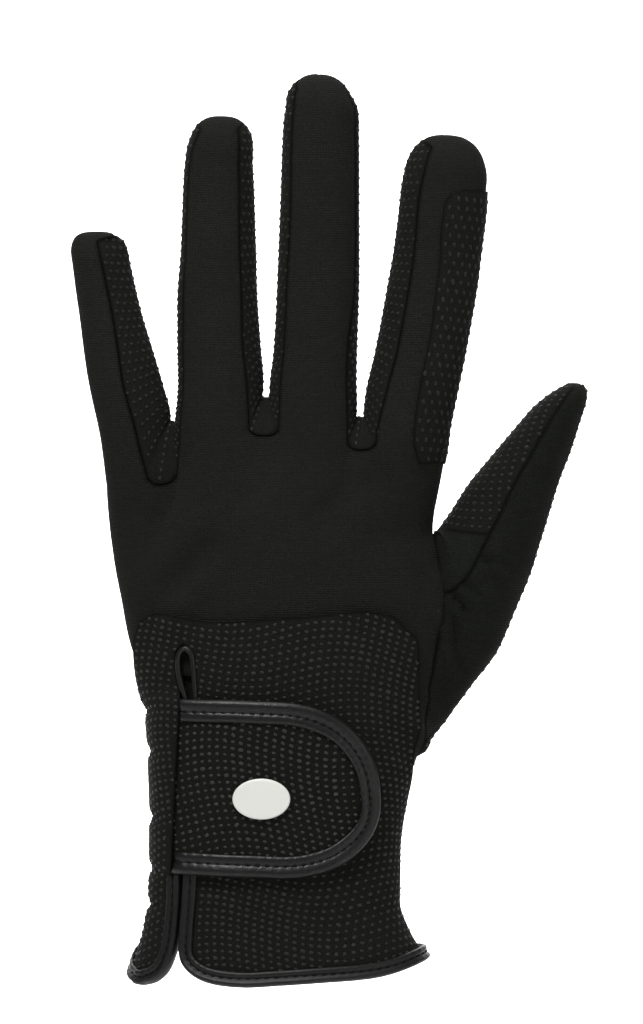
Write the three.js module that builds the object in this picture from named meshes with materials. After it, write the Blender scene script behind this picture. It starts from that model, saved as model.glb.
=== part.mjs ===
// Horse riding glove for the left hand, shown filled as worn.
// Millimetres. +Z points to the fingertips, the back of the hand faces -Y, the thumb is at +X.
// The origin is the middle of the cuff opening.
import * as THREE from "three";

// Overall sizes
const PALM_WIDTH = 85;
const PALM_LENGTH = 141.7;
const PALM_DEPTH = 32;

// Fingers: length from the root of the middle finger, width at the root, depth from back to front
const LITTLE = { length: 53.6, width: 19.6, depth: 15.5 };
const RING = { length: 83.6, width: 23.4, depth: 18 };
const MIDDLE = { length: 94.6, width: 23.4, depth: 19 };
const INDEX = { length: 78.8, width: 23.1, depth: 19 };
const THUMB_DEPTH = 26;
const CURL = 3;

// Sheets and clearances
const KNIT_WALL = 1.0;
const DOTTED_WALL = 1.1;
const STRAP_WALL = 1.4;
const BADGE_WALL = 1.0;
const GAP = 0.3;
const SAG = 0.3;

// Bindings
const SLIT_ROLL = 1.2;
const CUFF_ROLL = 2.2;
const CUFF_FLAP = 1.8;
const STRAP_ROLL = 3.2;
const STRAP_ROLL_HEIGHT = 2.6;
const STRAP_FLAP = 2.6;
const BINDING_WALL = 0.8;

// Closing strap and badge
const STRAP_REACH = 55;
const STRAP_HEIGHT = 45.6;
const BADGE_LENGTH = 14.6;
const BADGE_HEIGHT = 10.5;

// Body sections: up as a share of the palm length, left and right edge as shares of the palm width
// from the middle, back and front half depth as shares of the palm depth
const BODY = [
  { up: 0.0, left: -0.437, right: 0.44, back: 0.56, front: 0.58 },
  { up: 0.04, left: -0.425, right: 0.428, back: 0.55, front: 0.57 },
  { up: 0.095, left: -0.4, right: 0.379, back: 0.52, front: 0.54 },
  { up: 0.15, left: -0.385, right: 0.349, back: 0.5, front: 0.53 },
  { up: 0.242, left: -0.384, right: 0.347, back: 0.5, front: 0.54 },
  { up: 0.334, left: -0.382, right: 0.357, back: 0.51, front: 0.56 },
  { up: 0.402, left: -0.387, right: 0.414, back: 0.52, front: 0.6 },
  { up: 0.481, left: -0.398, right: 0.46, back: 0.53, front: 0.64 },
  { up: 0.554, left: -0.434, right: 0.492, back: 0.53, front: 0.66 },
  { up: 0.628, left: -0.46, right: 0.523, back: 0.52, front: 0.65 },
  { up: 0.701, left: -0.483, right: 0.541, back: 0.51, front: 0.62 },
  { up: 0.774, left: -0.505, right: 0.508, back: 0.49, front: 0.56 },
  { up: 0.829, left: -0.517, right: 0.468, back: 0.47, front: 0.5 },
  { up: 0.912, left: -0.528, right: 0.474, back: 0.45, front: 0.44 },
  { up: 1.0, left: -0.549, right: 0.511, back: 0.43, front: 0.38 },
];

// Finger sections: along as a share of the finger's length, mid as a share of the palm width, wide as a
// share of the finger's width; seam shares say how much of the width the back strip leaves on each side
const LITTLE_ROWS = [
  { along: -0.24, mid: -0.416, wide: 0.98, left: 0, right: 0.6 },
  { along: 0, mid: -0.434, wide: 1.0, left: 0, right: 0.51 },
  { along: 0.23, mid: -0.471, wide: 0.954, left: 0, right: 0.5 },
  { along: 0.42, mid: -0.497, wide: 0.887, left: 0, right: 0.53 },
  { along: 0.62, mid: -0.524, wide: 0.808, left: 0, right: 0.59 },
  { along: 0.81, mid: -0.547, wide: 0.768, left: 0, right: 0.62 },
  { along: 0.907, mid: -0.557, wide: 0.742, left: 0, right: 0.75 },
  { along: 0.96, mid: -0.56, wide: 0.66, left: 0, right: 0.97 },
  { along: 1, mid: -0.565, wide: 0.4, left: 0, right: 1 },
];
const RING_ROWS = [
  { along: -0.15, mid: -0.193, wide: 1.0, left: 0.06, right: 0.83 },
  { along: 0, mid: -0.18, wide: 1.0, left: 0.05, right: 0.82 },
  { along: 0.146, mid: -0.177, wide: 0.956, left: 0.06, right: 0.8 },
  { along: 0.27, mid: -0.185, wide: 0.922, left: 0.07, right: 0.79 },
  { along: 0.456, mid: -0.191, wide: 0.878, left: 0.08, right: 0.81 },
  { along: 0.58, mid: -0.188, wide: 0.833, left: 0.07, right: 0.79 },
  { along: 0.83, mid: -0.188, wide: 0.767, left: 0.06, right: 0.82 },
  { along: 0.89, mid: -0.185, wide: 0.7, left: 0.05, right: 0.88 },
  { along: 0.95, mid: -0.18, wide: 0.6, left: 0.02, right: 0.98 },
  { along: 1, mid: -0.18, wide: 0.36, left: 0, right: 1 },
];
const MIDDLE_ROWS = [
  { along: -0.1, mid: 0.098, wide: 1.0, left: 0.12, right: 0.885 },
  { along: 0, mid: 0.101, wide: 1.0, left: 0.12, right: 0.885 },
  { along: 0.13, mid: 0.102, wide: 0.967, left: 0.12, right: 0.885 },
  { along: 0.24, mid: 0.109, wide: 0.922, left: 0.12, right: 0.89 },
  { along: 0.4, mid: 0.116, wide: 0.911, left: 0.12, right: 0.94 },
  { along: 0.62, mid: 0.121, wide: 0.878, left: 0.13, right: 0.95 },
  { along: 0.84, mid: 0.125, wide: 0.844, left: 0.12, right: 0.95 },
  { along: 0.9, mid: 0.127, wide: 0.789, left: 0.1, right: 0.96 },
  { along: 0.953, mid: 0.118, wide: 0.656, left: 0.03, right: 0.98 },
  { along: 1, mid: 0.118, wide: 0.36, left: 0, right: 1 },
];
const INDEX_ROWS = [
  { along: -0.1, mid: 0.37, wide: 0.98, left: 0.18, right: 1 },
  { along: 0, mid: 0.379, wide: 0.98, left: 0.18, right: 1 },
  { along: 0.155, mid: 0.402, wide: 1.0, left: 0.22, right: 1 },
  { along: 0.287, mid: 0.428, wide: 0.99, left: 0.24, right: 1 },
  { along: 0.485, mid: 0.462, wide: 0.99, left: 0.24, right: 1 },
  { along: 0.62, mid: 0.482, wide: 0.978, left: 0.23, right: 1 },
  { along: 0.75, mid: 0.497, wide: 0.978, left: 0.2, right: 1 },
  { along: 0.815, mid: 0.502, wide: 0.966, left: 0.19, right: 1 },
  { along: 0.88, mid: 0.508, wide: 0.9, left: 0.17, right: 1 },
  { along: 0.947, mid: 0.508, wide: 0.72, left: 0.03, right: 1 },
  { along: 1, mid: 0.505, wide: 0.38, left: 0, right: 1 },
];

// Finger order from the outer edge to the thumb; roots are the lower ends of the side seams on the back,
// palm roots those on the palm, both as shares of the palm length
const FINGERS = [
  { size: LITTLE, rows: LITTLE_ROWS, root: [0.939, 0.921], palmRoot: [0.985, 0.982] },
  { size: RING, rows: RING_ROWS, root: [0.928, 1.011], palmRoot: [0.982, 1.031] },
  { size: MIDDLE, rows: MIDDLE_ROWS, root: [1.011, 0.985], palmRoot: [1.031, 1.003] },
  { size: INDEX, rows: INDEX_ROWS, root: [0.985, 0.972], palmRoot: [1.003, 0.99] },
];
// Crotches: lowest point of the seam on the back and the palm, and the saddle between two fingers
const CROTCHES = [
  { seam: 0.911, palmSeam: 0.973, saddle: 1.026, middle: -0.33 },
  { seam: 1.0, palmSeam: 1.02, saddle: 1.073, middle: -0.043 },
  { seam: 0.974, palmSeam: 0.99, saddle: 1.037, middle: 0.245 },
];

// Thumb hole: up as a share of the palm length, seam as a share of the palm width
const HOLE = [
  { up: 0.829, seam: 0.468 },
  { up: 0.811, seam: 0.472 },
  { up: 0.789, seam: 0.48 },
  { up: 0.763, seam: 0.488 },
  { up: 0.738, seam: 0.495 },
  { up: 0.714, seam: 0.498 },
  { up: 0.668, seam: 0.489 },
  { up: 0.628, seam: 0.48 },
  { up: 0.563, seam: 0.462 },
  { up: 0.481, seam: 0.44 },
  { up: 0.402, seam: 0.414 },
];
const THENAR = 0.07;

// Thumb rings from the hole to the tip: inner and outer edge in the plane of the hand as shares of the
// palm width and the palm length, half depth as a share of the thumb's depth, the seam's share, and the
// bulge of the early rings as a share of the palm width
const THUMB = [
  { lx: 0.4695, lz: 0.8275, rx: 0.498, rz: 0.473, deep: 0.5, seam: 0.31, bulge: 0.043 },
  { lx: 0.471, lz: 0.827, rx: 0.581, rz: 0.541, deep: 0.52, seam: 0.36, bulge: 0.034 },
  { lx: 0.4725, lz: 0.8265, rx: 0.664, rz: 0.606, deep: 0.52, seam: 0.4, bulge: 0.024 },
  { lx: 0.474, lz: 0.8265, rx: 0.719, rz: 0.679, deep: 0.5, seam: 0.44, bulge: 0.015 },
  { lx: 0.477, lz: 0.828, rx: 0.758, rz: 0.749, deep: 0.48, seam: 0.47, bulge: 0.006 },
  { lx: 0.483, lz: 0.832, rx: 0.789, rz: 0.809, deep: 0.46, seam: 0.49, bulge: 0 },
  { lx: 0.517, lz: 0.859, rx: 0.817, rz: 0.861, deep: 0.44, seam: 0.5, bulge: 0 },
  { lx: 0.575, lz: 0.912, rx: 0.847, rz: 0.919, deep: 0.42, seam: 0.5, bulge: 0 },
  { lx: 0.642, lz: 0.961, rx: 0.884, rz: 0.978, deep: 0.4, seam: 0.5, bulge: 0 },
  { lx: 0.716, lz: 1.015, rx: 0.911, rz: 1.029, deep: 0.38, seam: 0.49, bulge: 0 },
  { lx: 0.78, lz: 1.059, rx: 0.93, rz: 1.064, deep: 0.33, seam: 0.49, bulge: 0 },
  { lx: 0.832, lz: 1.083, rx: 0.933, rz: 1.083, deep: 0.24, seam: 0.48, bulge: 0 },
  { lx: 0.865, lz: 1.094, rx: 0.924, rz: 1.094, deep: 0.14, seam: 0.48, bulge: 0 },
  { lx: 0.881, lz: 1.1, rx: 0.912, rz: 1.1, deep: 0.02, seam: 0.48, bulge: 0 },
];
const THUMB_MIDDLE = 0.1;

// Cuff yoke: up as a share of the palm length, left and right edge as turns in degrees round the body
// (0 the left edge, 90 the back of the hand, 180 the right edge), slit edges as shares of the palm width
const YOKE = [
  { up: 0.668, left: 26, slitLeft: -0.31, slitRight: -0.285, right: 131 },
  { up: 0.628, left: 22, slitLeft: -0.312, slitRight: -0.272, right: 138 },
  { up: 0.595, left: 16, slitLeft: -0.32, slitRight: -0.256, right: 140 },
  { up: 0.554, left: 4, slitLeft: -0.32, slitRight: -0.254, right: 143 },
  { up: 0.505, left: -26, slitLeft: -0.31, slitRight: -0.262, right: 147 },
  { up: 0.44, left: -28.5, slitLeft: -0.314, slitRight: -0.268, right: 152 },
  { up: 0.38, left: -28.5, slitLeft: -0.318, slitRight: -0.27, right: 164 },
  { up: 0.33, left: -28.5, slitLeft: -0.322, slitRight: -0.27, right: 177 },
  { up: 0.262, left: -28.5, slitLeft: -0.328, slitRight: -0.27, right: 178.4 },
  { up: 0.2, left: -28.5, slitLeft: -0.351, slitRight: -0.276, right: 178.4 },
  { up: 0.145, left: -28.5, slitLeft: -0.36, slitRight: -0.276, right: 178.4 },
  { up: 0.09, left: -28.5, slitLeft: -0.38, slitRight: -0.272, right: 178.4 },
  { up: 0.055, left: -28.5, slitLeft: -0.404, slitRight: -0.254, right: 178.4 },
  { up: 0.03, left: -28.5, slitLeft: -0.423, slitRight: -0.235, right: 178.4 },
];
const SLIT_TOP_ROW = 1;
// Top and bottom edge of the yoke: rise over the table's end rows, by share of the way across
const YOKE_TOP = [
  { across: 0, rise: -0.025 },
  { across: 0.07, rise: 0.0 },
  { across: 0.16, rise: 0.01 },
  { across: 0.4, rise: -0.005 },
  { across: 0.62, rise: 0.003 },
  { across: 0.82, rise: 0.014 },
  { across: 0.93, rise: 0.006 },
  { across: 1, rise: -0.018 },
];
const FLAP_RISE = 0.41;

// Flap edges that the cuff binding follows: turn in degrees, up as a share of the palm length
const BINDING_PATH = [
  { turn: 36.5, up: 0.193 },
  { turn: 37, up: 0.135 },
  { turn: 36.4, up: 0.08 },
  { turn: 33.5, up: 0.046 },
  { turn: 28, up: 0.018 },
  { turn: 18, up: 0.0 },
  { turn: 6, up: 0.001 },
  { turn: -8, up: 0.016 },
  { turn: -40, up: 0.03 },
  { turn: -90, up: 0.032 },
  { turn: -140, up: 0.034 },
  { turn: -170, up: 0.038 },
  { turn: -187, up: 0.038 },
  { turn: -204, up: 0.033 },
  { turn: -230, up: 0.016 },
  { turn: -262, up: 0.006 },
  { turn: -290, up: 0.002 },
  { turn: -305, up: 0.007 },
  { turn: -315, up: 0.023 },
  { turn: -320.5, up: 0.052 },
  { turn: -321.3, up: 0.085 },
  { turn: -320, up: 0.135 },
  { turn: -320, up: 0.193 },
];

// Keyhole loop at the top of the slit: place as shares of the palm width and the palm length
const KEYHOLE = [
  { x: -0.3, up: 0.538 },
  { x: -0.308, up: 0.56 },
  { x: -0.309, up: 0.59 },
  { x: -0.303, up: 0.609 },
  { x: -0.292, up: 0.616 },
  { x: -0.281, up: 0.609 },
  { x: -0.273, up: 0.59 },
  { x: -0.27, up: 0.56 },
  { x: -0.273, up: 0.538 },
];

// Strap: left edge and middle of the round end as shares, the rest from its sizes
const STRAP_LEFT = -0.342;
const STRAP_UP = 0.36;
const STRAP_ROUND = 0.5;

// Badge place
const BADGE_X = -0.0535;
const BADGE_UP = 0.343;

// Index patch: up as a share of the index's length, left edge as a share of its width
const PATCH = [
  { along: 0.81, left: 0.53 },
  { along: 0.75, left: 0.5 },
  { along: 0.67, left: 0.5 },
  { along: 0.58, left: 0.53 },
  { along: 0.45, left: 0.55 },
  { along: 0.32, left: 0.57 },
  { along: 0.2, left: 0.57 },
  { along: 0.07, left: 0.58 },
  { along: -0.02, left: 0.6 },
  { along: -0.09, left: 0.68 },
];
const PATCH_WRAP = 200;

// Rows and columns of the sheets
const FINGER_ROWS = [1, 0.975, 0.935, 0.885, 0.82, 0.74, 0.6, 0.45, 0.3, 0.15];
const STRIP_END_ROW = 3;
const MELT_ABOVE = 6;
const MELT_LENGTH = 30;
const FINGER_CELLS = 4;
const CROTCH_CELLS = 3;
const PALM_ROWS = [0.352, 0.297, 0.242, 0.19, 0.14, 0.095, 0.06];
const BACK_END = 0.6;

// Colours of the materials
const KNIT = { color: 0x222321, roughness: 0.92 };
const DOTTED = { color: 0x242523, roughness: 0.7 };
const LEATHERETTE = { color: 0x343432, roughness: 0.5 };
const METAL = { color: 0xe2e2dc, roughness: 0.45, metalness: 0.7 };

const deg = Math.PI / 180;
const mix = (a, b, t) => a + (b - a) * t;
const smooth = (t) => {
  const u = Math.min(1, Math.max(0, t));
  return u * u * (3 - 2 * u);
};

// Smooth value from a table whose first column runs either way
function lookup(table, key, column, at) {
  const rows = table[0][key] < table[table.length - 1][key] ? table : [...table].reverse();
  const n = rows.length;
  if (at <= rows[0][key]) return rows[0][column];
  if (at >= rows[n - 1][key]) return rows[n - 1][column];
  let i = 0;
  while (at > rows[i + 1][key]) i++;
  const slope = (k) => (rows[k + 1][column] - rows[k][column]) / (rows[k + 1][key] - rows[k][key]);
  const tangent = (k) => {
    if (k === 0) return slope(0);
    if (k === n - 1) return slope(n - 2);
    const a = slope(k - 1);
    const b = slope(k);
    return a * b <= 0 ? 0 : (2 * a * b) / (a + b);
  };
  const h = rows[i + 1][key] - rows[i][key];
  const t = (at - rows[i][key]) / h;
  const h00 = 2 * t ** 3 - 3 * t ** 2 + 1;
  const h01 = 1 - h00;
  const h10 = t ** 3 - 2 * t ** 2 + t;
  const h11 = t ** 3 - t ** 2;
  return h00 * rows[i][column] + h01 * rows[i + 1][column] + h * (h10 * tangent(i) + h11 * tangent(i + 1));
}

const SQUARE = 0.9;
const power = (v) => Math.sign(v) * Math.abs(v) ** SQUARE;
const turnOf = (share) => Math.acos(Math.sign(1 - 2 * share) * Math.abs(1 - 2 * share) ** (1 / SQUARE));

// A closed section: turn 0 is the left edge, 90 degrees the back of the hand, 180 the right edge
function sectionPoint(s, turn, inset, z) {
  const x = s.mid - (s.half - inset) * power(Math.cos(turn));
  const side = Math.sin(turn);
  const deep = side > 0 ? s.back : s.front;
  const y = s.y - deep * Math.max(0, 1 - inset / Math.max(s.solid, 1)) * power(side);
  return new THREE.Vector3(x, y, z);
}

function bodySection(z) {
  const up = z / PALM_LENGTH;
  const left = lookup(BODY, "up", "left", up) * PALM_WIDTH;
  const right = lookup(BODY, "up", "right", up) * PALM_WIDTH;
  const back = lookup(BODY, "up", "back", up) * PALM_DEPTH;
  const front = lookup(BODY, "up", "front", up) * PALM_DEPTH;
  return { mid: (left + right) / 2, half: (right - left) / 2, back, front, solid: back, y: 0 };
}

const bodyPoint = (turn, z, inset) => sectionPoint(bodySection(z), turn, inset, z);

const TIP_RAMP = 6;
function fingerSection(finger, z) {
  const { length, width, depth } = finger.size;
  const along = (z - PALM_LENGTH) / length;
  const capStart = 1 - (0.55 * depth) / length;
  const cap = Math.min(1, Math.max(0, (along - capStart) / (1 - capStart)));
  const deep = (depth / 2) * mix(1, 0.9, Math.max(0, along)) * Math.sqrt(Math.max(0, 1 - cap * cap));
  const y = mix(-0.12 * PALM_DEPTH, CURL, smooth(along));
  const mid = lookup(finger.rows, "along", "mid", along) * PALM_WIDTH;
  const half = (lookup(finger.rows, "along", "wide", along) * width) / 2;
  return { mid, half, back: deep, front: deep, solid: depth / 2, y };
}

// Turn of the back strip's edges on a finger; the palm strip mirrors them
function fingerEdges(k, z, palm) {
  const finger = FINGERS[k];
  const along = (z - PALM_LENGTH) / finger.size.length;
  const close = smooth((along - 0.72) / 0.17);
  const left = lookup(finger.rows, "along", "left", along);
  const right = lookup(finger.rows, "along", "right", along);
  const edge = GAP / 2 / (finger.size.depth / 2);
  const outer = 30 * deg * (1 - smooth((along - 0.8) / 0.15));
  if (!palm) {
    const a = k === 0 ? -outer : turnOf(left) * (1 - close);
    const b = k === 3 ? Math.PI + outer : mix(turnOf(right), Math.PI, close);
    return [a + edge, b - edge];
  }
  const side = mix(0.12, 0, close);
  const a = k === 0 ? outer : turnOf(side);
  const b = k === 3 ? Math.PI - outer : turnOf(1 - side);
  return [a + edge, b - edge];
}

function fingerPoint(k, z, share, inset, palm) {
  const [a, b] = fingerEdges(k, z, palm);
  const turn = mix(a, b, share) * (palm ? -1 : 1);
  const finger = FINGERS[k];
  const top = PALM_LENGTH + finger.size.length;
  const along = Math.max(0, (z - PALM_LENGTH) / finger.size.length);
  const p = sectionPoint(fingerSection(finger, z), turn, inset, z - inset * smooth((along - 0.7) / 0.3));
  p.y += (palm ? 1 : -1) * (GAP / 2) * smooth((z - top + TIP_RAMP) / TIP_RAMP);
  return p;
}

// Columns run from the outer edge to the thumb: five cells on each finger, three in each crotch
function columns() {
  const list = [];
  for (let k = 0; k < 4; k++) {
    for (let j = 0; j <= FINGER_CELLS; j++) list.push({ finger: k, share: j / FINGER_CELLS });
    if (k === 3) break;
    for (let j = 1; j < CROTCH_CELLS; j++) list.push({ crotch: k, share: j / CROTCH_CELLS });
  }
  return list;
}
const COLUMNS = columns();

function rootHeight(column, palm) {
  if (column.finger !== undefined) {
    const [a, b] = palm ? FINGERS[column.finger].palmRoot : FINGERS[column.finger].root;
    return mix(a, b, column.share) * PALM_LENGTH;
  }
  const c = CROTCHES[column.crotch];
  return (palm ? c.palmSeam : c.seam) * PALM_LENGTH;
}

// Turn round the body of each column, found where the finger's strip meets the body
function bodyTurns(palm) {
  const turns = COLUMNS.map((column) => {
    if (column.finger === undefined) return null;
    const z = rootHeight(column, palm);
    const [a, b] = fingerEdges(column.finger, z, palm);
    const turn = mix(a, b, column.share);
    const edge = (column.finger === 0 && column.share === 0) || (column.finger === 3 && column.share === 1);
    if (edge || turn < 0 || turn > Math.PI) return turn;
    const p = fingerPoint(column.finger, z, column.share, 0, palm);
    const s = bodySection(z);
    const share = (p.x - s.mid + s.half) / (2 * s.half);
    return turnOf(Math.min(1, Math.max(0, share)));
  });
  return turns.map((turn, i) => {
    if (turn !== null) return turn;
    const step = COLUMNS[i].share * CROTCH_CELLS;
    return mix(turns[i - step], turns[i + CROTCH_CELLS - step], COLUMNS[i].share);
  });
}
const TURNS = [bodyTurns(false), bodyTurns(true)];

// Turn of the body's right-hand edge: the thumb hole, and the side seam above and below it
function holeTurn(z, palm) {
  const up = z / PALM_LENGTH;
  const s = bodySection(z);
  const inside = HOLE[0].up - HOLE[HOLE.length - 1].up;
  const way = Math.min(1, Math.max(0, (HOLE[0].up - up) / inside));
  const back = palm ? THENAR * Math.sin(Math.PI * way) : 0;
  const x = (lookup(HOLE, "up", "seam", up) - back) * PALM_WIDTH;
  return turnOf(Math.min(1, Math.max(0, (x - s.mid + s.half) / (2 * s.half))));
}

function bodyColumnTurn(i, z, palm, last) {
  const turns = TURNS[palm ? 1 : 0];
  const first = turns[0];
  const hole = HOLE[HOLE.length - 1].up;
  const foot = smooth((hole + 0.1 - z / PALM_LENGTH) / 0.09);
  const edge = (GAP * (0.6 + 2.4 * foot)) / (PALM_DEPTH / 2);
  const low = z <= HOLE[0].up * PALM_LENGTH + 0.01;
  const end = low ? holeTurn(z, palm) - edge : mix(Math.PI, turns[last], smooth((z / PALM_LENGTH - 0.83) / 0.1));
  return first + ((turns[i] - first) * (end - first)) / (turns[last] - first);
}

// A point of the hand's skin in a column: the finger's section that melts into the body below its root
function handPoint(i, z, inset, palm) {
  const last = COLUMNS.length - 1;
  const column = COLUMNS[i];
  const turn = bodyColumnTurn(i, z, palm, last);
  const body = bodyPoint(palm ? -turn : turn, z, inset);
  const weight = smooth((rootHeight(column, false) + MELT_ABOVE - z) / MELT_LENGTH);
  if (weight >= 1) return body;
  if (column.finger !== undefined) {
    return fingerPoint(column.finger, z, column.share, inset, palm).lerp(body, weight);
  }
  const k = column.crotch;
  const a = fingerPoint(k, z, 1, inset, palm);
  const b = fingerPoint(k + 1, z, 0, inset, palm);
  return a.lerp(b, column.share).lerp(body, weight);
}

// Closed sheet between two grids of points, built over the cells that the mask keeps
function sheet(outer, inner, keep) {
  const rows = outer.length;
  const cols = outer[0].length;
  const kept = (r, c) => r >= 0 && c >= 0 && r < rows - 1 && c < cols - 1 && (!keep || keep(r, c));
  const place = [];
  const index = new Map();
  const vertex = (layer, r, c) => {
    const name = layer + "," + r + "," + c;
    if (!index.has(name)) {
      index.set(name, place.length / 3);
      const p = (layer ? inner : outer)[r][c];
      place.push(p.x, p.y, p.z);
    }
    return index.get(name);
  };
  const faces = [];
  const quad = (a, b, c, d) => faces.push(a, b, c, a, c, d);
  for (let r = 0; r < rows - 1; r++) {
    for (let c = 0; c < cols - 1; c++) {
      if (!kept(r, c)) continue;
      quad(vertex(0, r, c), vertex(0, r + 1, c), vertex(0, r + 1, c + 1), vertex(0, r, c + 1));
      quad(vertex(1, r, c), vertex(1, r, c + 1), vertex(1, r + 1, c + 1), vertex(1, r + 1, c));
      const edges = [
        [r - 1, c, r, c, r, c + 1],
        [r + 1, c, r + 1, c + 1, r + 1, c],
        [r, c - 1, r + 1, c, r, c],
        [r, c + 1, r, c + 1, r + 1, c + 1],
      ];
      for (const [nr, nc, ar, ac, br, bc] of edges) {
        if (kept(nr, nc)) continue;
        quad(vertex(0, ar, ac), vertex(0, br, bc), vertex(1, br, bc), vertex(1, ar, ac));
      }
    }
  }
  return solid(place, faces);
}

// Geometry with its faces turned outward
function solid(place, faces) {
  let volume = 0;
  const at = (i) => new THREE.Vector3(place[3 * i], place[3 * i + 1], place[3 * i + 2]);
  for (let f = 0; f < faces.length; f += 3) {
    volume += at(faces[f]).dot(at(faces[f + 1]).cross(at(faces[f + 2])));
  }
  const turned = volume > 0 ? faces : faces.map((v, f) => faces[f - (f % 3) + [0, 2, 1][f % 3]]);
  const geometry = new THREE.BufferGeometry();
  geometry.setAttribute("position", new THREE.Float32BufferAttribute(place, 3));
  geometry.setIndex(turned);
  geometry.computeVertexNormals();
  return geometry;
}

const grid = (rows, cols, make) =>
  Array.from({ length: rows }, (_, r) => Array.from({ length: cols }, (_, c) => make(r, c)));

const group = new THREE.Group();
function add(name, geometry, look) {
  const material = new THREE.MeshStandardMaterial({ metalness: 0, ...look });
  const mesh = new THREE.Mesh(geometry, material);
  mesh.name = name;
  group.add(mesh);
}

// Rows of the two main panels: the finger rows, the root row, two rows down to the hole, then the hole
const ROOT_ROW = FINGER_ROWS.length;
const LEAD_ROWS = 2;
const HOLE_ROW = ROOT_ROW + 1 + LEAD_ROWS;

function panelHeight(r, i, palm) {
  const column = COLUMNS[i];
  const root = rootHeight(column, palm);
  if (r < ROOT_ROW) {
    const size = FINGERS[column.finger === undefined ? column.crotch : column.finger].size;
    return mix(root, PALM_LENGTH + size.length, FINGER_ROWS[r]);
  }
  const top = HOLE[0].up * PALM_LENGTH;
  if (r < HOLE_ROW) return mix(root, top, (r - ROOT_ROW) / (LEAD_ROWS + 1));
  const h = r - HOLE_ROW;
  const below = h < HOLE.length ? HOLE[h].up : PALM_ROWS[h - HOLE.length];
  return below * PALM_LENGTH;
}

const onPanel = (r, c) => r >= ROOT_ROW || COLUMNS[c].finger === COLUMNS[c + 1].finger && COLUMNS[c].finger !== undefined;

function panelPoint(r, i, inset, palm) {
  return handPoint(i, panelHeight(r, i, palm), inset, palm);
}

// Back panel: ends under the yoke, and runs on beside the thumb seam
const backRows = HOLE_ROW + HOLE.length + 1;
const backEndRow = HOLE_ROW + HOLE.findIndex((row) => row.up < BACK_END);
const SIDE_CELLS = 3;
const backGrid = (inset) => grid(backRows, COLUMNS.length, (r, i) => panelPoint(r, i, inset, false));
const keepBack = (r, c) => onPanel(r, c) && (r < backEndRow || c >= COLUMNS.length - 1 - SIDE_CELLS);
add("back_panel", sheet(backGrid(0), backGrid(KNIT_WALL), keepBack), KNIT);

// Palm panel: runs to the lower edge of the cuff
const palmRows = HOLE_ROW + HOLE.length + PALM_ROWS.length;
const palmGrid = (inset) => grid(palmRows, COLUMNS.length, (r, i) => panelPoint(r, i, inset, true));
add("palm_panel", sheet(palmGrid(0), palmGrid(DOTTED_WALL), onPanel), DOTTED);

// Side strips between the fingers, from the seam on the back round to the seam on the palm
const STRIP_CELLS = 4;
const STRIP_SPREAD = 5;
const STRIP_CREST = 1.2;
const STRIP_TOP = ["little_ring", "ring_middle", "middle_index"];

function stripPath(k) {
  const path = [];
  const start = (k + 1) * (FINGER_CELLS + 1) - 1 + k * (CROTCH_CELLS - 1);
  for (let r = STRIP_END_ROW; r <= ROOT_ROW; r++) path.push({ r, i: start, side: -1 });
  for (let j = 1; j < CROTCH_CELLS; j++) path.push({ r: ROOT_ROW, i: start + j, side: 0 });
  for (let r = ROOT_ROW; r >= STRIP_END_ROW; r--) path.push({ r, i: start + CROTCH_CELLS, side: 1 });
  return path;
}

function stripGrid(k, inset) {
  const path = stripPath(k);
  const saddle = CROTCHES[k].saddle * PALM_LENGTH;
  const middleX = CROTCHES[k].middle * PALM_WIDTH;
  const lines = path.map(({ r, i, side }) => {
    const front = panelPoint(r, i, inset, false);
    const rear = panelPoint(r, i, inset, true);
    const f = side > 0 ? k + 1 : k;
    const finger = FINGERS[f];
    const tip = PALM_LENGTH + finger.size.length;
    const root = rootHeight(COLUMNS[i], false);
    const way = (panelHeight(r, i, false) - root) / (tip - root);
    const z = panelHeight(r, i, false) + (saddle - root) * (1 - Math.max(0, way)) ** 3;
    const s = fingerSection(finger, z);
    const spread = 1 - Math.exp(-Math.max(0, z - saddle) / STRIP_SPREAD);
    let x = mix(middleX, s.mid - side * s.half, spread);
    if (side === 0) x = middleX + (COLUMNS[i].share - 0.5) * STRIP_CREST;
    else x = mix(x, s.mid - side * s.half, way) + side * 0.75 * STRIP_CREST * (1 - spread);
    const down = inset * (1 - spread);
    const middle = new THREE.Vector3(x + side * inset * spread, s.y, z - down);
    return { front, middle, rear, side };
  });
  return lines.map(({ front, middle, rear }) => {
    const shift = Math.min(1.3 * GAP, 0.42 * front.distanceTo(rear));
    const a = front.clone();
    const b = rear.clone();
    const toward = middle.clone().sub(front).setLength(shift);
    const back = middle.clone().sub(rear).setLength(shift);
    a.add(toward);
    b.add(back);
    const control = middle.clone().multiplyScalar(2).addScaledVector(a.clone().add(b), -0.5);
    const curve = new THREE.QuadraticBezierCurve3(a, control, b);
    return Array.from({ length: STRIP_CELLS + 1 }, (_, w) => curve.getPoint(w / STRIP_CELLS));
  });
}

for (let k = 0; k < 3; k++) {
  add("fourchette_" + STRIP_TOP[k], sheet(stripGrid(k, 0), stripGrid(k, DOTTED_WALL)), DOTTED);
}

// Thumb: rings of twenty points that start on the hole and end in the tip's seam
const RING_POINTS = 20;
const HALF_RING = RING_POINTS / 2;

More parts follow.
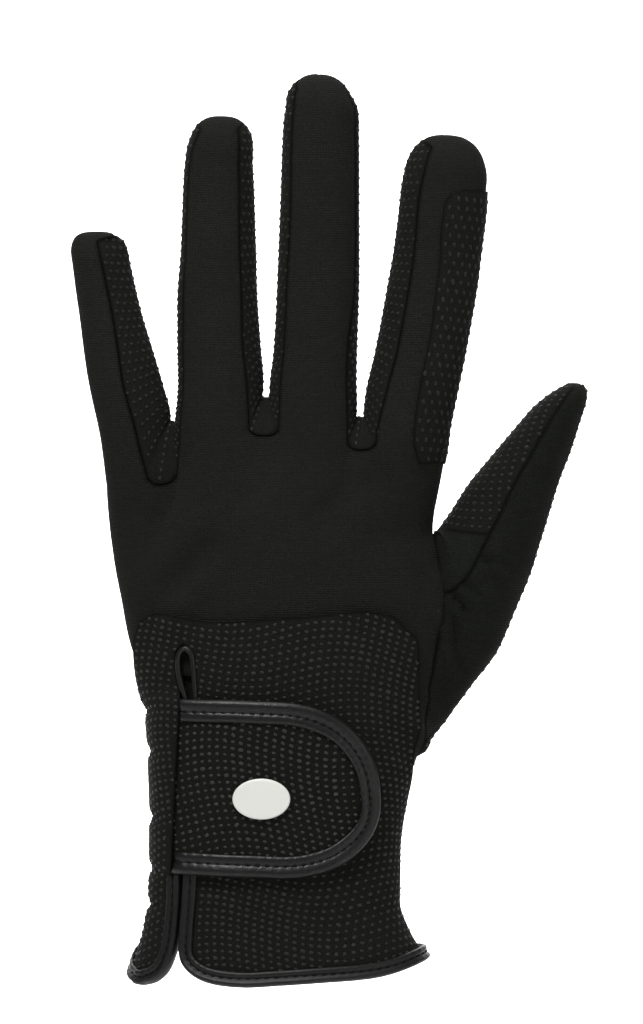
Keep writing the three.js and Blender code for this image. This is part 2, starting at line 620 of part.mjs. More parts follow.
function thumbPoint(ring, at, inset) {
  const front = at <= HALF_RING;
  const step = front ? at : RING_POINTS - at;
  if (ring === 0) {
    const h = Math.min(HOLE.length - 1, Math.max(0, step));
    const low = Math.floor(h);
    const high = Math.min(HOLE.length - 1, low + 1);
    let z = mix(HOLE[low].up, HOLE[high].up, h - low) * PALM_LENGTH;
    const ends = Math.cos((Math.PI * step) / HALF_RING);
    z -= 3 * GAP * ends;
    const clear = (GAP * (1.5 + 0.6 * ends * ends)) / (PALM_DEPTH / 2);
    const turn = Math.min(Math.PI - 0.002, holeTurn(z, !front) + clear);
    return bodyPoint(front ? turn : -turn, z, inset);
  }
  const row = THUMB[ring - 1];
  const tip = smooth((ring - THUMB.length + 3) / 3);
  const angle = (Math.PI * step) / HALF_RING;
  const share = ((1 - Math.cos(angle)) / 2) ** (Math.log(row.seam) / Math.log(0.5));
  const l = new THREE.Vector3(row.lx * PALM_WIDTH, 0, row.lz * PALM_LENGTH);
  const r = new THREE.Vector3(row.rx * PALM_WIDTH, 0, row.rz * PALM_LENGTH);
  const chord = r.clone().sub(l);
  const normal = new THREE.Vector3(-chord.z, 0, chord.x).normalize();
  const cut = Math.min(0.45, inset / chord.length());
  const p = l.clone().addScaledVector(chord, mix(cut, 1 - cut, share));
  const bulge = row.bulge * PALM_WIDTH - (row.bulge > 0 ? inset * 0.5 : 0);
  p.addScaledVector(normal, Math.max(0, bulge) * Math.sin(angle));
  const deep = Math.max(GAP / 2, row.deep * THUMB_DEPTH - inset * (1 - tip));
  p.y = THUMB_MIDDLE * PALM_DEPTH - (front ? 1 : -1) * deep * Math.sin(angle);
  p.z -= inset * tip;
  return p;
}

const FRONT_SEAM = 5;
const BACK_SEAM = 8;
const PALM_SEAM = 15;
const GUSSET_RING = 6;
const SEAM_STEP = 0.055;

function thumbPiece(name, from, to, firstRing, lastRing, wall, look) {
  const cells = Math.round(to - from);
  const rings = lastRing - firstRing;
  const make = (inset) =>
    grid(rings + 1, cells + 1, (r, c) => {
      const edge = c === 0 ? SEAM_STEP : c === cells ? -SEAM_STEP : 0;
      const at = from + c + edge;
      const ring = firstRing + r;
      const p = thumbPoint(ring, (at + RING_POINTS) % RING_POINTS, inset);
      if (ring !== GUSSET_RING || from >= FRONT_SEAM) return p;
      const other = thumbPoint(r === 0 ? ring + 1 : ring - 1, (at + RING_POINTS) % RING_POINTS, inset);
      return p.addScaledVector(other.sub(p).normalize(), GAP / 2);
    });
  add(name, sheet(make(0), make(wall)), look);
}

const lastRing = THUMB.length;
thumbPiece("thumb_back", FRONT_SEAM, BACK_SEAM, 0, lastRing, KNIT_WALL, KNIT);
thumbPiece("thumb_palm", BACK_SEAM, PALM_SEAM, 0, lastRing, KNIT_WALL, DOTTED);
const innerFrom = PALM_SEAM - RING_POINTS;
thumbPiece("thumb_inner", innerFrom, FRONT_SEAM, GUSSET_RING, lastRing, KNIT_WALL, DOTTED);
thumbPiece("thumb_gusset", innerFrom, FRONT_SEAM, 0, GUSSET_RING, KNIT_WALL, KNIT);

// Grip patch over the outer side of the index finger
function patchGrid(lift) {
  const cells = 4;
  return PATCH.map(({ along, left }) => {
    const z = PALM_LENGTH + along * INDEX.length;
    const root = rootHeight({ finger: 3, share: 1 }, false);
    const weight = smooth((root + MELT_ABOVE - z) / MELT_LENGTH);
    const s = fingerSection(FINGERS[3], z);
    const b = bodySection(z);
    return Array.from({ length: cells + 1 }, (_, c) => {
      const turn = mix(turnOf(left), PATCH_WRAP * deg, c / cells);
      const p = sectionPoint(s, turn, -lift, z);
      if (weight === 0) return p;
      const share = turn > Math.PI ? 1 : Math.min(1, (p.x - b.mid + b.half) / (2 * b.half));
      const bodyTurn = turn > Math.PI ? turn : turnOf(share);
      const q = sectionPoint(b, bodyTurn, -lift, z);
      return p.lerp(q, weight);
    });
  });
}
add("index_patch", sheet(patchGrid(GAP + SAG + DOTTED_WALL), patchGrid(GAP + SAG)), DOTTED);

// Yoke: lies on the body with the slit between its two flaps
const LEFT_CELLS = 5;
const RIGHT_CELLS = 12;
const YOKE_LIFT = GAP + SAG;

function shareTurn(x, z, lift = 0) {
  const s = bodySection(z);
  const half = s.half + lift;
  return turnOf(Math.min(1, Math.max(0, (x * PALM_WIDTH - s.mid + half) / (2 * half))));
}

// The left flap's fold rises over the strap's end
function flapRise(z) {
  const up = z / PALM_LENGTH;
  const half = STRAP_HEIGHT / 2 / PALM_LENGTH;
  const away = Math.abs(up - STRAP_UP) / half;
  return 1 - smooth((away - 0.9) / 0.3);
}
const STRAP_BASE = YOKE_LIFT + DOTTED_WALL + GAP + 0.4 * SAG;

// Lower edge of the sheets, a roll and a clearance above the edge that the binding follows
const LOWER_EDGE = BINDING_PATH.slice(3, -3);
function lowerEdge(turn) {
  const at = turn / deg < 37 ? turn / deg : turn / deg - 360;
  return lookup(LOWER_EDGE, "turn", "up", at) * PALM_LENGTH + CUFF_ROLL + 2 * GAP;
}
const FREE_ROW = YOKE.length - 3;

function yokeGrid(lift) {
  return YOKE.map((row, r) =>
    Array.from({ length: LEFT_CELLS + RIGHT_CELLS + 2 }, (_, c) => {
      const right = c > LEFT_CELLS;
      const cells = right ? RIGHT_CELLS : LEFT_CELLS;
      const step = right ? (c - LEFT_CELLS - 1) / cells : c / cells;
      const z0 = row.up * PALM_LENGTH;
      const from = right ? shareTurn(row.slitRight, z0) : row.left * deg;
      const to = right ? row.right * deg : shareTurn(row.slitLeft, z0);
      const turn = mix(from, to, step);
      const across = (turn - row.left * deg) / ((row.right - row.left) * deg);
      let z = z0 + (r === 0 ? lookup(YOKE_TOP, "across", "rise", across) * PALM_LENGTH : 0);
      if (r > FREE_ROW) z = mix(YOKE[FREE_ROW].up * PALM_LENGTH, lowerEdge(turn), (r - FREE_ROW) / 2);
      const rise = right ? 0 : smooth((step - FLAP_RISE) / (1 - FLAP_RISE)) * flapRise(z);
      return bodyPoint(turn, z, -lift - rise * (STRAP_WALL + DOTTED_WALL + 2 * GAP));
    }),
  );
}
const keepYoke = (r, c) => c !== LEFT_CELLS || r < SLIT_TOP_ROW;
const yokeOuter = YOKE_LIFT + DOTTED_WALL;
add("cuff_yoke", sheet(yokeGrid(yokeOuter), yokeGrid(YOKE_LIFT), keepYoke), DOTTED);

// A section swept along a path on the cuff: each section point is out from the edge and up from the skin
function sweep(path, section) {
  const outer = path.map(({ point, side, normal }) =>
    section.map(([out, lift]) => point.clone().addScaledVector(side, out).addScaledVector(normal, lift)),
  );
  const n = section.length;
  const place = [];
  for (const ring of outer) for (const p of ring) place.push(p.x, p.y, p.z);
  const faces = [];
  for (let i = 0; i < outer.length - 1; i++) {
    for (let j = 0; j < n; j++) {
      const a = i * n + j;
      const b = i * n + ((j + 1) % n);
      faces.push(a, b, b + n, a, b + n, a + n);
    }
  }
  const contour = section.map(([u, v]) => new THREE.Vector2(u, v));
  const last = (outer.length - 1) * n;
  const way = Math.sign(THREE.ShapeUtils.area(contour));
  for (const [a, b, c] of THREE.ShapeUtils.triangulateShape(contour, [])) {
    const same = Math.sign(THREE.ShapeUtils.area([contour[a], contour[b], contour[c]])) === way;
    const [p, q] = same ? [b, c] : [c, b];
    faces.push(a, q, p);
    faces.push(last + a, last + p, last + q);
  }
  return solid(place, faces);
}

// Path on the skin with its sideways and outward directions
function skinPath(points, place, outside) {
  return points.map((p, i) => {
    const e = 0.01;
    const here = place(p);
    const before = place(points[Math.max(0, i - 1)]);
    const after = place(points[Math.min(points.length - 1, i + 1)]);
    const along = after.sub(before).normalize();
    const du = place({ ...p, turn: p.turn + e }).sub(here);
    const dv = place({ ...p, z: p.z + 0.1 }).sub(here);
    const normal = dv.cross(du).normalize();
    if (normal.dot(new THREE.Vector3(here.x, here.y, 0)) < 0) normal.negate();
    const side = along.clone().cross(normal).normalize().multiplyScalar(outside);
    return { point: here, side, normal };
  });
}

function curvePoints(list, count) {
  const curve = new THREE.CatmullRomCurve3(list.map((p) => new THREE.Vector3(p.turn * 30, p.z, 0)), false, "centripetal");
  return curve.getSpacedPoints(count).map((v) => ({ turn: v.x / 30, z: v.y }));
}
const onSkin = (lift) => (p) => bodyPoint(p.turn, p.z, -lift);

// Keyhole binding: a thin roll inside the slit's round top
const keyholeList = KEYHOLE.map(({ x, up }) => ({ turn: shareTurn(x, up * PALM_LENGTH), z: up * PALM_LENGTH }));
const keyholePath = skinPath(curvePoints(keyholeList, 22), onSkin(0), 1);
const round = (out, up, halfOut, halfUp, sides) =>
  Array.from({ length: sides }, (_, i) => {
    const a = (2 * Math.PI * i) / sides;
    return [out + halfOut * Math.cos(a), up + halfUp * Math.sin(a)];
  });
const slitUp = YOKE_LIFT + 0.8 * SLIT_ROLL;
add("slit_binding", sweep(keyholePath, round(0, slitUp, SLIT_ROLL / 2, 0.8 * SLIT_ROLL, 8)), LEATHERETTE);

// Binding section: a roll past the edge of the sheet, and a flat allowance on top of the sheet
function bindingSection(roll, height, flap, base, top) {
  return [
    [0, base],
    [-roll * 0.3, base - 0.02],
    [-roll * 0.75, base + 0.1 * height],
    [-roll, top + GAP],
    [-roll - flap, top + GAP],
    [-roll - flap, top + GAP + BINDING_WALL * 0.8],
    [-roll * 0.95, top + GAP + BINDING_WALL],
    [-roll * 0.7, base + height],
    [-roll * 0.3, base + 0.95 * height],
    [0, base + 0.55 * height],
  ];
}

// Cuff binding: down the left flap, round its tip, round the palm side and back up the right flap
const bindingList = BINDING_PATH.map(({ turn, up }) => ({ turn: turn * deg, z: up * PALM_LENGTH }));
const bindingPath = skinPath(curvePoints(bindingList, 62), onSkin(0), -1);
const cuffTop = YOKE_LIFT + DOTTED_WALL;
const cuffHeight = DOTTED_WALL + cuffTop + GAP + BINDING_WALL + SAG;
add("cuff_binding", sweep(bindingPath, bindingSection(CUFF_ROLL, cuffHeight, CUFF_FLAP, -DOTTED_WALL, cuffTop)), LEATHERETTE);

// Strap outline: straight on the left, a round end on the right
function strapEdge(v, inset) {
  const half = STRAP_HEIGHT / 2 - inset;
  const left = STRAP_LEFT * PALM_WIDTH;
  const straight = left + STRAP_REACH * STRAP_ROUND;
  const bow = (STRAP_REACH * (1 - STRAP_ROUND) - inset) * (1 - Math.abs(v) ** 2.3) ** (1 / 2.3);
  return { left, right: straight + bow, z: STRAP_UP * PALM_LENGTH + v * half, straight };
}
const strapLean = (x) => (-0.035 * (x - STRAP_LEFT * PALM_WIDTH));
const turnAt = (x, z, lift) => shareTurn(x / PALM_WIDTH, z, lift);
const sheetInset = STRAP_ROLL + 2 * GAP;
const STRAP_ROWS = 10;
const STRAP_CELLS = 9;
function strapGrid(lift) {
  return grid(STRAP_ROWS + 1, STRAP_CELLS + 1, (r, c) => {
    const v = Math.sin(((r / STRAP_ROWS) * 2 - 1) * Math.PI * 0.47) / Math.sin(Math.PI * 0.47);
    const e = strapEdge(v, sheetInset);
    const share = 1 - (1 - c / STRAP_CELLS) ** 1.4;
    const x = mix(e.left, e.right, share);
    const z = e.z + strapLean(x);
    return bodyPoint(turnAt(x, z, STRAP_BASE), z, -lift);
  });
}
const strapTop = STRAP_BASE + STRAP_WALL;
add("strap", sheet(strapGrid(strapTop), strapGrid(STRAP_BASE)), DOTTED);

// Strap binding: from the slit along the top, round the end and back along the bottom
const strapList = Array.from({ length: 25 }, (_, i) => {
  const t = (i / 24) * 2 - 1;
  const straightShare = 0.36;
  const a = Math.abs(t) > 1 - straightShare;
  const v = a ? Math.sign(t) : Math.sin((t / (1 - straightShare)) * Math.PI / 2);
  const e = strapEdge(v * 0.9999, 0);
  const x = a ? mix(e.straight, e.left, (Math.abs(t) - 1 + straightShare) / straightShare) : e.right;
  const z = e.z + strapLean(x);
  return { turn: turnAt(x, z, STRAP_BASE), z };
});
const strapPath = skinPath(curvePoints(strapList, 40), onSkin(0), 1);
const bindingLook = bindingSection(STRAP_ROLL, STRAP_ROLL_HEIGHT, STRAP_FLAP, STRAP_BASE, strapTop);
add("strap_binding", sweep(strapPath, bindingLook), LEATHERETTE);

// Badge: a flat oval plate bent to the strap
function badgeGrid(lift) {
  const rings = 7;
  const cells = 8;
  return grid(rings + 1, cells + 1, (r, c) => {
    const v = -Math.cos((Math.PI * (r + 0.35)) / (rings + 0.7));
    const u = (2 * c) / cells - 1;
    const x = BADGE_X * PALM_WIDTH + u * Math.sqrt(1 - v * v) * (BADGE_LENGTH / 2);
    const z = BADGE_UP * PALM_LENGTH + v * (BADGE_HEIGHT / 2);
    return bodyPoint(turnAt(x, z, badgeBase), z, -lift);
  });
}
const badgeBase = strapTop + GAP;
add("badge", sheet(badgeGrid(badgeBase + BADGE_WALL), badgeGrid(badgeBase)), METAL);

export default group;
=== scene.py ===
import math

import bmesh
import bpy
import numpy as np
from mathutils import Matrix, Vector
from mathutils.kdtree import KDTree


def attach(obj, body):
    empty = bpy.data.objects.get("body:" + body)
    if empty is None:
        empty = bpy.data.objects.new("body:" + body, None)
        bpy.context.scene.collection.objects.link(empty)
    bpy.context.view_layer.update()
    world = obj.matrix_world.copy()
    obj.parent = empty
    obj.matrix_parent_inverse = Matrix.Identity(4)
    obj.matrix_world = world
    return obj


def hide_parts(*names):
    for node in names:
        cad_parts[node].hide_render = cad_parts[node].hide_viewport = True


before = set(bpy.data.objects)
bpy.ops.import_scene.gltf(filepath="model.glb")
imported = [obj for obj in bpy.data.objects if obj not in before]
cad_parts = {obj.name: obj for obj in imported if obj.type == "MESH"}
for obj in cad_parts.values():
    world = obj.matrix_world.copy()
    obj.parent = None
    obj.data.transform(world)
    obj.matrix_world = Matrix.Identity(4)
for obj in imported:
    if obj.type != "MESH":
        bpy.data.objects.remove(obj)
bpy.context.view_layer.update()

# Sizes of the part
PALM_WIDTH = 85.0
PALM_LENGTH = 141.7
PALM_DEPTH = 32.0
CURL = 3.0
THUMB_DEPTH = 26.0
KNIT_WALL = 1.0
DOTTED_WALL = 1.1
STRAP_WALL = 1.4
BADGE_WALL = 1.0
GAP = 0.3
SAG = 0.3
CUFF_ROLL = 2.2
CUFF_FLAP = 1.8
SLIT_ROLL = 1.2
STRAP_ROLL = 3.2
STRAP_ROLL_HEIGHT = 2.6
STRAP_FLAP = 2.6
BINDING_WALL = 0.8
STRAP_REACH = 55.0
STRAP_HEIGHT = 45.6
BADGE_LENGTH = 14.6
BADGE_HEIGHT = 10.5
DEG = math.pi / 180

# Body sections: up, left, right, back, front
BODY = np.array([
    (0.0, -0.437, 0.44, 0.56, 0.58),
    (0.04, -0.425, 0.428, 0.55, 0.57),
    (0.095, -0.4, 0.379, 0.52, 0.54),
    (0.15, -0.385, 0.349, 0.5, 0.53),
    (0.242, -0.378, 0.35, 0.5, 0.54),
    (0.334, -0.377, 0.37, 0.51, 0.56),
    (0.402, -0.382, 0.414, 0.52, 0.6),
    (0.481, -0.392, 0.46, 0.53, 0.64),
    (0.554, -0.422, 0.492, 0.53, 0.66),
    (0.628, -0.46, 0.523, 0.52, 0.65),
    (0.701, -0.483, 0.541, 0.51, 0.62),
    (0.774, -0.505, 0.508, 0.49, 0.56),
    (0.829, -0.517, 0.468, 0.47, 0.5),
    (0.912, -0.528, 0.474, 0.45, 0.44),
    (1.0, -0.549, 0.511, 0.43, 0.38),
])

# Finger rows: along, middle, width, left seam, right seam
LITTLE = np.array([
    (-0.24, -0.416, 0.98, 0, 0.6), (0, -0.434, 1.0, 0, 0.51), (0.23, -0.471, 0.954, 0, 0.5),
    (0.42, -0.497, 0.887, 0, 0.53), (0.62, -0.524, 0.808, 0, 0.56), (0.81, -0.547, 0.768, 0, 0.55),
    (0.907, -0.557, 0.742, 0, 0.53), (0.96, -0.56, 0.66, 0, 0.51), (1, -0.565, 0.4, 0, 0.5),
])
RING = np.array([
    (-0.15, -0.193, 1.0, 0.06, 0.83), (0, -0.18, 1.0, 0.05, 0.82), (0.146, -0.177, 0.956, 0.06, 0.8),
    (0.27, -0.185, 0.922, 0.07, 0.79), (0.456, -0.191, 0.878, 0.08, 0.81), (0.58, -0.188, 0.833, 0.07, 0.79),
    (0.83, -0.188, 0.767, 0.08, 0.8), (0.89, -0.185, 0.7, 0.1, 0.8), (0.95, -0.18, 0.6, 0.13, 0.79),
    (1, -0.18, 0.36, 0.15, 0.78),
])
MIDDLE = np.array([
    (-0.1, 0.098, 1.0, 0.12, 0.885), (0, 0.101, 1.0, 0.12, 0.885), (0.13, 0.102, 0.967, 0.12, 0.885),
    (0.24, 0.109, 0.922, 0.12, 0.89), (0.4, 0.116, 0.911, 0.12, 0.94), (0.62, 0.121, 0.878, 0.13, 0.95),
    (0.84, 0.125, 0.844, 0.12, 0.95), (0.9, 0.127, 0.789, 0.12, 0.95), (0.953, 0.118, 0.656, 0.13, 0.94),
    (1, 0.118, 0.36, 0.15, 0.92),
])
INDEX = np.array([
    (-0.1, 0.37, 0.98, 0.18, 1), (0, 0.379, 0.98, 0.18, 1), (0.155, 0.402, 1.0, 0.22, 1),
    (0.287, 0.428, 0.99, 0.24, 1), (0.485, 0.462, 0.99, 0.24, 1), (0.62, 0.482, 0.978, 0.23, 1),
    (0.75, 0.497, 0.978, 0.21, 1), (0.815, 0.502, 0.966, 0.22, 1), (0.88, 0.508, 0.9, 0.24, 1),
    (0.947, 0.508, 0.72, 0.27, 1), (1, 0.505, 0.38, 0.3, 1),
])
# Fingers: cap is where the round fingertip starts and how square it is
FINGERS = [
    dict(
        length=53.6, width=19.6, depth=15.5, cap=(0.85, 3.0), rows=LITTLE,
        root=(0.939, 0.921), palm_root=(0.985, 0.982),
    ),
    dict(
        length=83.6, width=23.4, depth=18.0, cap=(0.85, 2.7), rows=RING,
        root=(0.928, 1.011), palm_root=(0.982, 1.031),
    ),
    dict(
        length=94.6, width=23.4, depth=19.0, cap=(0.84, 2.4), rows=MIDDLE,
        root=(1.011, 0.985), palm_root=(1.031, 1.003),
    ),
    dict(
        length=78.8, width=23.1, depth=19.0, cap=(0.8, 2.5), rows=INDEX,
        root=(0.985, 0.972), palm_root=(1.003, 0.99),
    ),
]
# Crotches: seam on the back, seam on the palm, saddle, middle
CROTCHES = [(0.911, 0.973, 1.026, -0.33), (1.0, 1.02, 1.073, -0.043), (0.974, 0.99, 1.037, 0.245)]

# Thumb hole: up, seam
HOLE = np.array([
    (0.829, 0.468), (0.811, 0.472), (0.789, 0.48), (0.763, 0.488), (0.738, 0.495), (0.714, 0.498),
    (0.668, 0.489), (0.628, 0.48), (0.563, 0.462), (0.481, 0.44), (0.402, 0.414),
])
THENAR = 0.07
# Thumb rings: inner edge x and z, outer edge x and z, depth, seam share, bulge
THUMB = np.array([
    (0.4695, 0.8275, 0.498, 0.473, 0.5, 0.31, 0.043), (0.471, 0.827, 0.581, 0.541, 0.52, 0.36, 0.034),
    (0.4725, 0.8265, 0.664, 0.606, 0.52, 0.4, 0.024), (0.474, 0.8265, 0.719, 0.679, 0.5, 0.44, 0.015),
    (0.477, 0.828, 0.758, 0.749, 0.48, 0.47, 0.006), (0.483, 0.832, 0.789, 0.809, 0.46, 0.49, 0),
    (0.517, 0.859, 0.817, 0.861, 0.44, 0.5, 0), (0.575, 0.912, 0.847, 0.919, 0.42, 0.5, 0),
    (0.642, 0.961, 0.884, 0.978, 0.4, 0.5, 0), (0.716, 1.015, 0.911, 1.029, 0.38, 0.49, 0),
    (0.78, 1.059, 0.93, 1.064, 0.33, 0.49, 0), (0.832, 1.083, 0.933, 1.083, 0.24, 0.48, 0),
    (0.865, 1.094, 0.924, 1.094, 0.14, 0.48, 0), (0.881, 1.1, 0.912, 1.1, 0.02, 0.48, 0),
])
THUMB_MIDDLE = 0.1

# Yoke rows: up, left turn, left slit edge, right slit edge, right turn
YOKE = np.array([
    (0.668, 26, -0.31, -0.285, 131), (0.628, 22, -0.312, -0.272, 138), (0.595, 16, -0.32, -0.256, 140),
    (0.554, 4, -0.32, -0.254, 143), (0.505, -26, -0.31, -0.262, 147), (0.44, -28.5, -0.314, -0.268, 152),
    (0.38, -28.5, -0.318, -0.27, 164), (0.33, -28.5, -0.322, -0.27, 177),
    (0.262, -28.5, -0.328, -0.27, 178.4),
    (0.2, -28.5, -0.351, -0.276, 178.4), (0.145, -28.5, -0.36, -0.276, 178.4),
    (0.09, -28.5, -0.38, -0.272, 178.4),
    (0.055, -28.5, -0.404, -0.254, 178.4), (0.03, -28.5, -0.423, -0.235, 178.4),
])
# Wave of the yoke's top edge: share across, up
YOKE_TOP = np.array([
    (0, -0.025), (0.07, 0.0), (0.16, 0.01), (0.4, -0.005),
    (0.62, 0.003), (0.82, 0.014), (0.93, 0.006), (1, -0.018),
])
FLAP_RISE = 0.41
# Cuff binding path: turn, up
BINDING_PATH = np.array([
    (43.6, 0.206), (44.2, 0.135), (44.4, 0.09), (44.0, 0.058), (41.0, 0.026), (35, 0.008),
    (27, 0.0), (15, 0.0), (3, 0.008), (-9, 0.024), (-26, 0.055), (-46, 0.072), (-68, 0.06),
    (-95, 0.042), (-140, 0.034),
    (-170, 0.038), (-187, 0.038), (-204, 0.033), (-230, 0.016), (-262, 0.006), (-283, 0.0), (-297, 0.007),
    (-305, 0.021), (-311, 0.041), (-313.8, 0.062), (-314.8, 0.09), (-315.2, 0.135), (-315.0, 0.218),
])
LOWER_EDGE = BINDING_PATH[4:-5]
STRAP_LEFT = -0.342
STRAP_UP = 0.3655
STRAP_ROUND = 0.5
BADGE_X = -0.0535
BADGE_UP = 0.343
# Index patch: along, left
PATCH = np.array([
    (0.81, 0.53), (0.75, 0.5), (0.67, 0.5), (0.58, 0.53), (0.45, 0.55), (0.32, 0.57), (0.2, 0.57),
    (0.07, 0.58), (-0.02, 0.6), (-0.09, 0.68),
])
PATCH_WRAP = 200
FINGER_ROWS = [1, 0.975, 0.935, 0.885, 0.82, 0.74, 0.6, 0.45, 0.3, 0.15]
PALM_ROWS = [0.352, 0.297, 0.242, 0.19, 0.14, 0.095, 0.06]
MELT_ABOVE = 6.0
MELT_LENGTH = 30.0
SQUARE = 0.9


def mix(a, b, t):
    return a + (b - a) * t


def smooth(t):
    u = min(1.0, max(0.0, t))
    return u * u * (3 - 2 * u)


def lookup(table, column, at):
    """Smooth value of a column from a table whose first column runs either way."""
    rows = table if table[0][0] < table[-1][0] else table[::-1]
    keys = rows[:, 0]
    if at <= keys[0]:
        return float(rows[0][column])
    if at >= keys[-1]:
        return float(rows[-1][column])
    i = int(np.searchsorted(keys, at, side="left")) - 1
    n = len(keys)

    def slope(k):
        return (rows[k + 1][column] - rows[k][column]) / (keys[k + 1] - keys[k])

    def tangent(k):
        if k == 0:
            return slope(0)
        if k == n - 1:
            return slope(n - 2)
        a, b = slope(k - 1), slope(k)
        return 0.0 if a * b <= 0 else 2 * a * b / (a + b)

    h = keys[i + 1] - keys[i]
    t = (at - keys[i]) / h
    h00 = 2 * t**3 - 3 * t**2 + 1
    part = h00 * rows[i][column] + (1 - h00) * rows[i + 1][column]
    return float(part + h * ((t**3 - 2 * t**2 + t) * tangent(i) + (t**3 - t**2) * tangent(i + 1)))


def turn_of(share):
    v = 1 - 2 * min(1.0, max(0.0, share))
    return math.acos(math.copysign(abs(v) ** (1 / SQUARE), v))


def power(v):
    return math.copysign(abs(v) ** SQUARE, v)


def section_point(s, turn, inset, z):
    mid, half, back, front, solid, y = s
    side = math.sin(turn)
    deep = back if side > 0 else front
    x = mid - (half - inset) * power(math.cos(turn))
    return Vector((x, y - deep * max(0.0, 1 - inset / max(solid, 1)) * power(side), z))


BODY_FINE = {}


def body_section(z):
    key = round(z, 3)
    if key not in BODY_FINE:
        up = z / PALM_LENGTH
        left, right = (lookup(BODY, k, up) * PALM_WIDTH for k in (1, 2))
        back, front = (lookup(BODY, k, up) * PALM_DEPTH for k in (3, 4))
        BODY_FINE[key] = ((left + right) / 2, (right - left) / 2, back, front, back, 0.0)
    return BODY_FINE[key]


def body_point(turn, z, inset):
    return section_point(body_section(z), turn, inset, z)


def finger_section(k, z):
    f = FINGERS[k]
    along = (z - PALM_LENGTH) / f["length"]
    start = 1 - 0.55 * f["depth"] / f["length"]
    cap = min(1.0, max(0.0, (along - start) / (1 - start)))
    deep = f["depth"] / 2 * mix(1, 0.9, max(0, along)) * math.sqrt(max(0, 1 - cap * cap))
    y = mix(-0.12 * PALM_DEPTH, CURL, smooth(along))
    mid = lookup(f["rows"], 1, along) * PALM_WIDTH
    tip, power_ = f["cap"]
    half = lookup(f["rows"], 2, min(along, tip)) * f["width"] / 2
    if along > tip:
        # the fingertip is round seen from the back
        way = min(1.0, (along - tip) / (1 - tip))
        half = max(0.4, half * (1 - way**power_) ** (1 / power_))
    return (mid, half, deep, deep, f["depth"] / 2, y)


def finger_edges(k, z, palm):
    f = FINGERS[k]
    along = (z - PALM_LENGTH) / f["length"]
    close = smooth((along - 0.95) / 0.05)
    edge = GAP / 2 / (f["depth"] / 2)
    outer = 30 * DEG * (1 - smooth((along - 0.86) / 0.12))
    if not palm:
        a = -outer if k == 0 else turn_of(lookup(f["rows"], 3, along)) * (1 - close)
        b = math.pi + outer if k == 3 else mix(turn_of(lookup(f["rows"], 4, along)), math.pi, close)
        return a + edge, b - edge
    side = mix(0.12, 0, close)
    a = outer if k == 0 else turn_of(side)
    b = math.pi - outer if k == 3 else turn_of(1 - side)
    return a + edge, b - edge


def finger_point(k, z, share, inset, palm):
    a, b = finger_edges(k, z, palm)
    f = FINGERS[k]
    along = max(0.0, (z - PALM_LENGTH) / f["length"])
    turn = mix(a, b, share) * (-1 if palm else 1)
    p = section_point(finger_section(k, z), turn, inset, z - inset * smooth((along - 0.7) / 0.3))
    p.y += (1 if palm else -1) * GAP / 2 * smooth((z - PALM_LENGTH - f["length"] + 6) / 6)
    return p


# Columns of the two panels: finer than the part's own, on the same lines
FINE_FINGER = 20
FINE_CROTCH = 6
COLUMNS = []
for k in range(4):
    COLUMNS += [("finger", k, j / FINE_FINGER) for j in range(FINE_FINGER + 1)]
    if k < 3:
        COLUMNS += [("crotch", k, j / FINE_CROTCH) for j in range(1, FINE_CROTCH)]


def root_height(column, palm):
    kind, k, share = column
    key = "palm_root" if palm else "root"
    if kind == "finger":
        a, b = FINGERS[k][key]
        return mix(a, b, share) * PALM_LENGTH
    a, b = FINGERS[k][key][1], FINGERS[k + 1][key][0]
    sink = (a + b) / 2 - CROTCHES[k][1 if palm else 0]
    return (mix(a, b, share) - sink * math.sqrt(max(0, 4 * share * (1 - share)))) * PALM_LENGTH


def body_turns(palm):
    turns = []
    for n, column in enumerate(COLUMNS):
        kind, k, share = column
        if kind == "crotch":
            turns.append(None)
            continue
        z = root_height(column, palm)
        a, b = finger_edges(k, z, palm)
        turn = mix(a, b, share)
        if n in (0, len(COLUMNS) - 1) or turn < 0 or turn > math.pi:
            turns.append(turn)
            continue
        p = finger_point(k, z, share, 0, palm)
        s = body_section(z)
        turns.append(turn_of((p.x - s[0] + s[1]) / (2 * s[1])))
    for n, column in enumerate(COLUMNS):
        if column[0] == "crotch":
            step = round(column[2] * FINE_CROTCH)
            turns[n] = mix(turns[n - step], turns[n + FINE_CROTCH - step], column[2])
    # The turns are kept in order where a finger's edge folds under the body
    for n in range(1, len(turns)):
        turns[n] = max(turns[n], turns[n - 1] + 0.002)
    return turns


TURNS = (body_turns(False), body_turns(True))


def hole_turn(z, palm):
    up = z / PALM_LENGTH
    s = body_section(z)
    way = min(1.0, max(0.0, (HOLE[0][0] - up) / (HOLE[0][0] - HOLE[-1][0])))
    back = THENAR * math.sin(math.pi * way) if palm else 0
    x = (lookup(HOLE, 1, up) - back) * PALM_WIDTH
    return turn_of((x - s[0] + s[1]) / (2 * s[1]))


def column_turn(i, z, palm):
    turns = TURNS[1 if palm else 0]
    foot = smooth((HOLE[-1][0] + 0.1 - z / PALM_LENGTH) / 0.09)
    edge = GAP * (0.35 + 0.5 * foot) / (PALM_DEPTH / 2)
    if z <= HOLE[0][0] * PALM_LENGTH + 0.01:
        end = hole_turn(z, palm) - edge
    else:
        end = mix(math.pi, turns[-1], smooth((z / PALM_LENGTH - 0.83) / 0.1))
    return turns[0] + (turns[i] - turns[0]) * (end - turns[0]) / (turns[-1] - turns[0])


def hand_point(i, z, inset, palm):
    column = COLUMNS[i]
    turn = column_turn(i, z, palm)
    body = body_point(-turn if palm else turn, z, inset)
    weight = smooth((root_height(column, False) + MELT_ABOVE - z) / MELT_LENGTH)
    if weight >= 1:
        return body
    kind, k, share = column
    if kind == "finger":
        p = finger_point(k, z, share, inset, palm)
    else:
        p = finger_point(k, z, 1, inset, palm).lerp(finger_point(k + 1, z, 0, inset, palm), share)
    return p.lerp(body, weight)


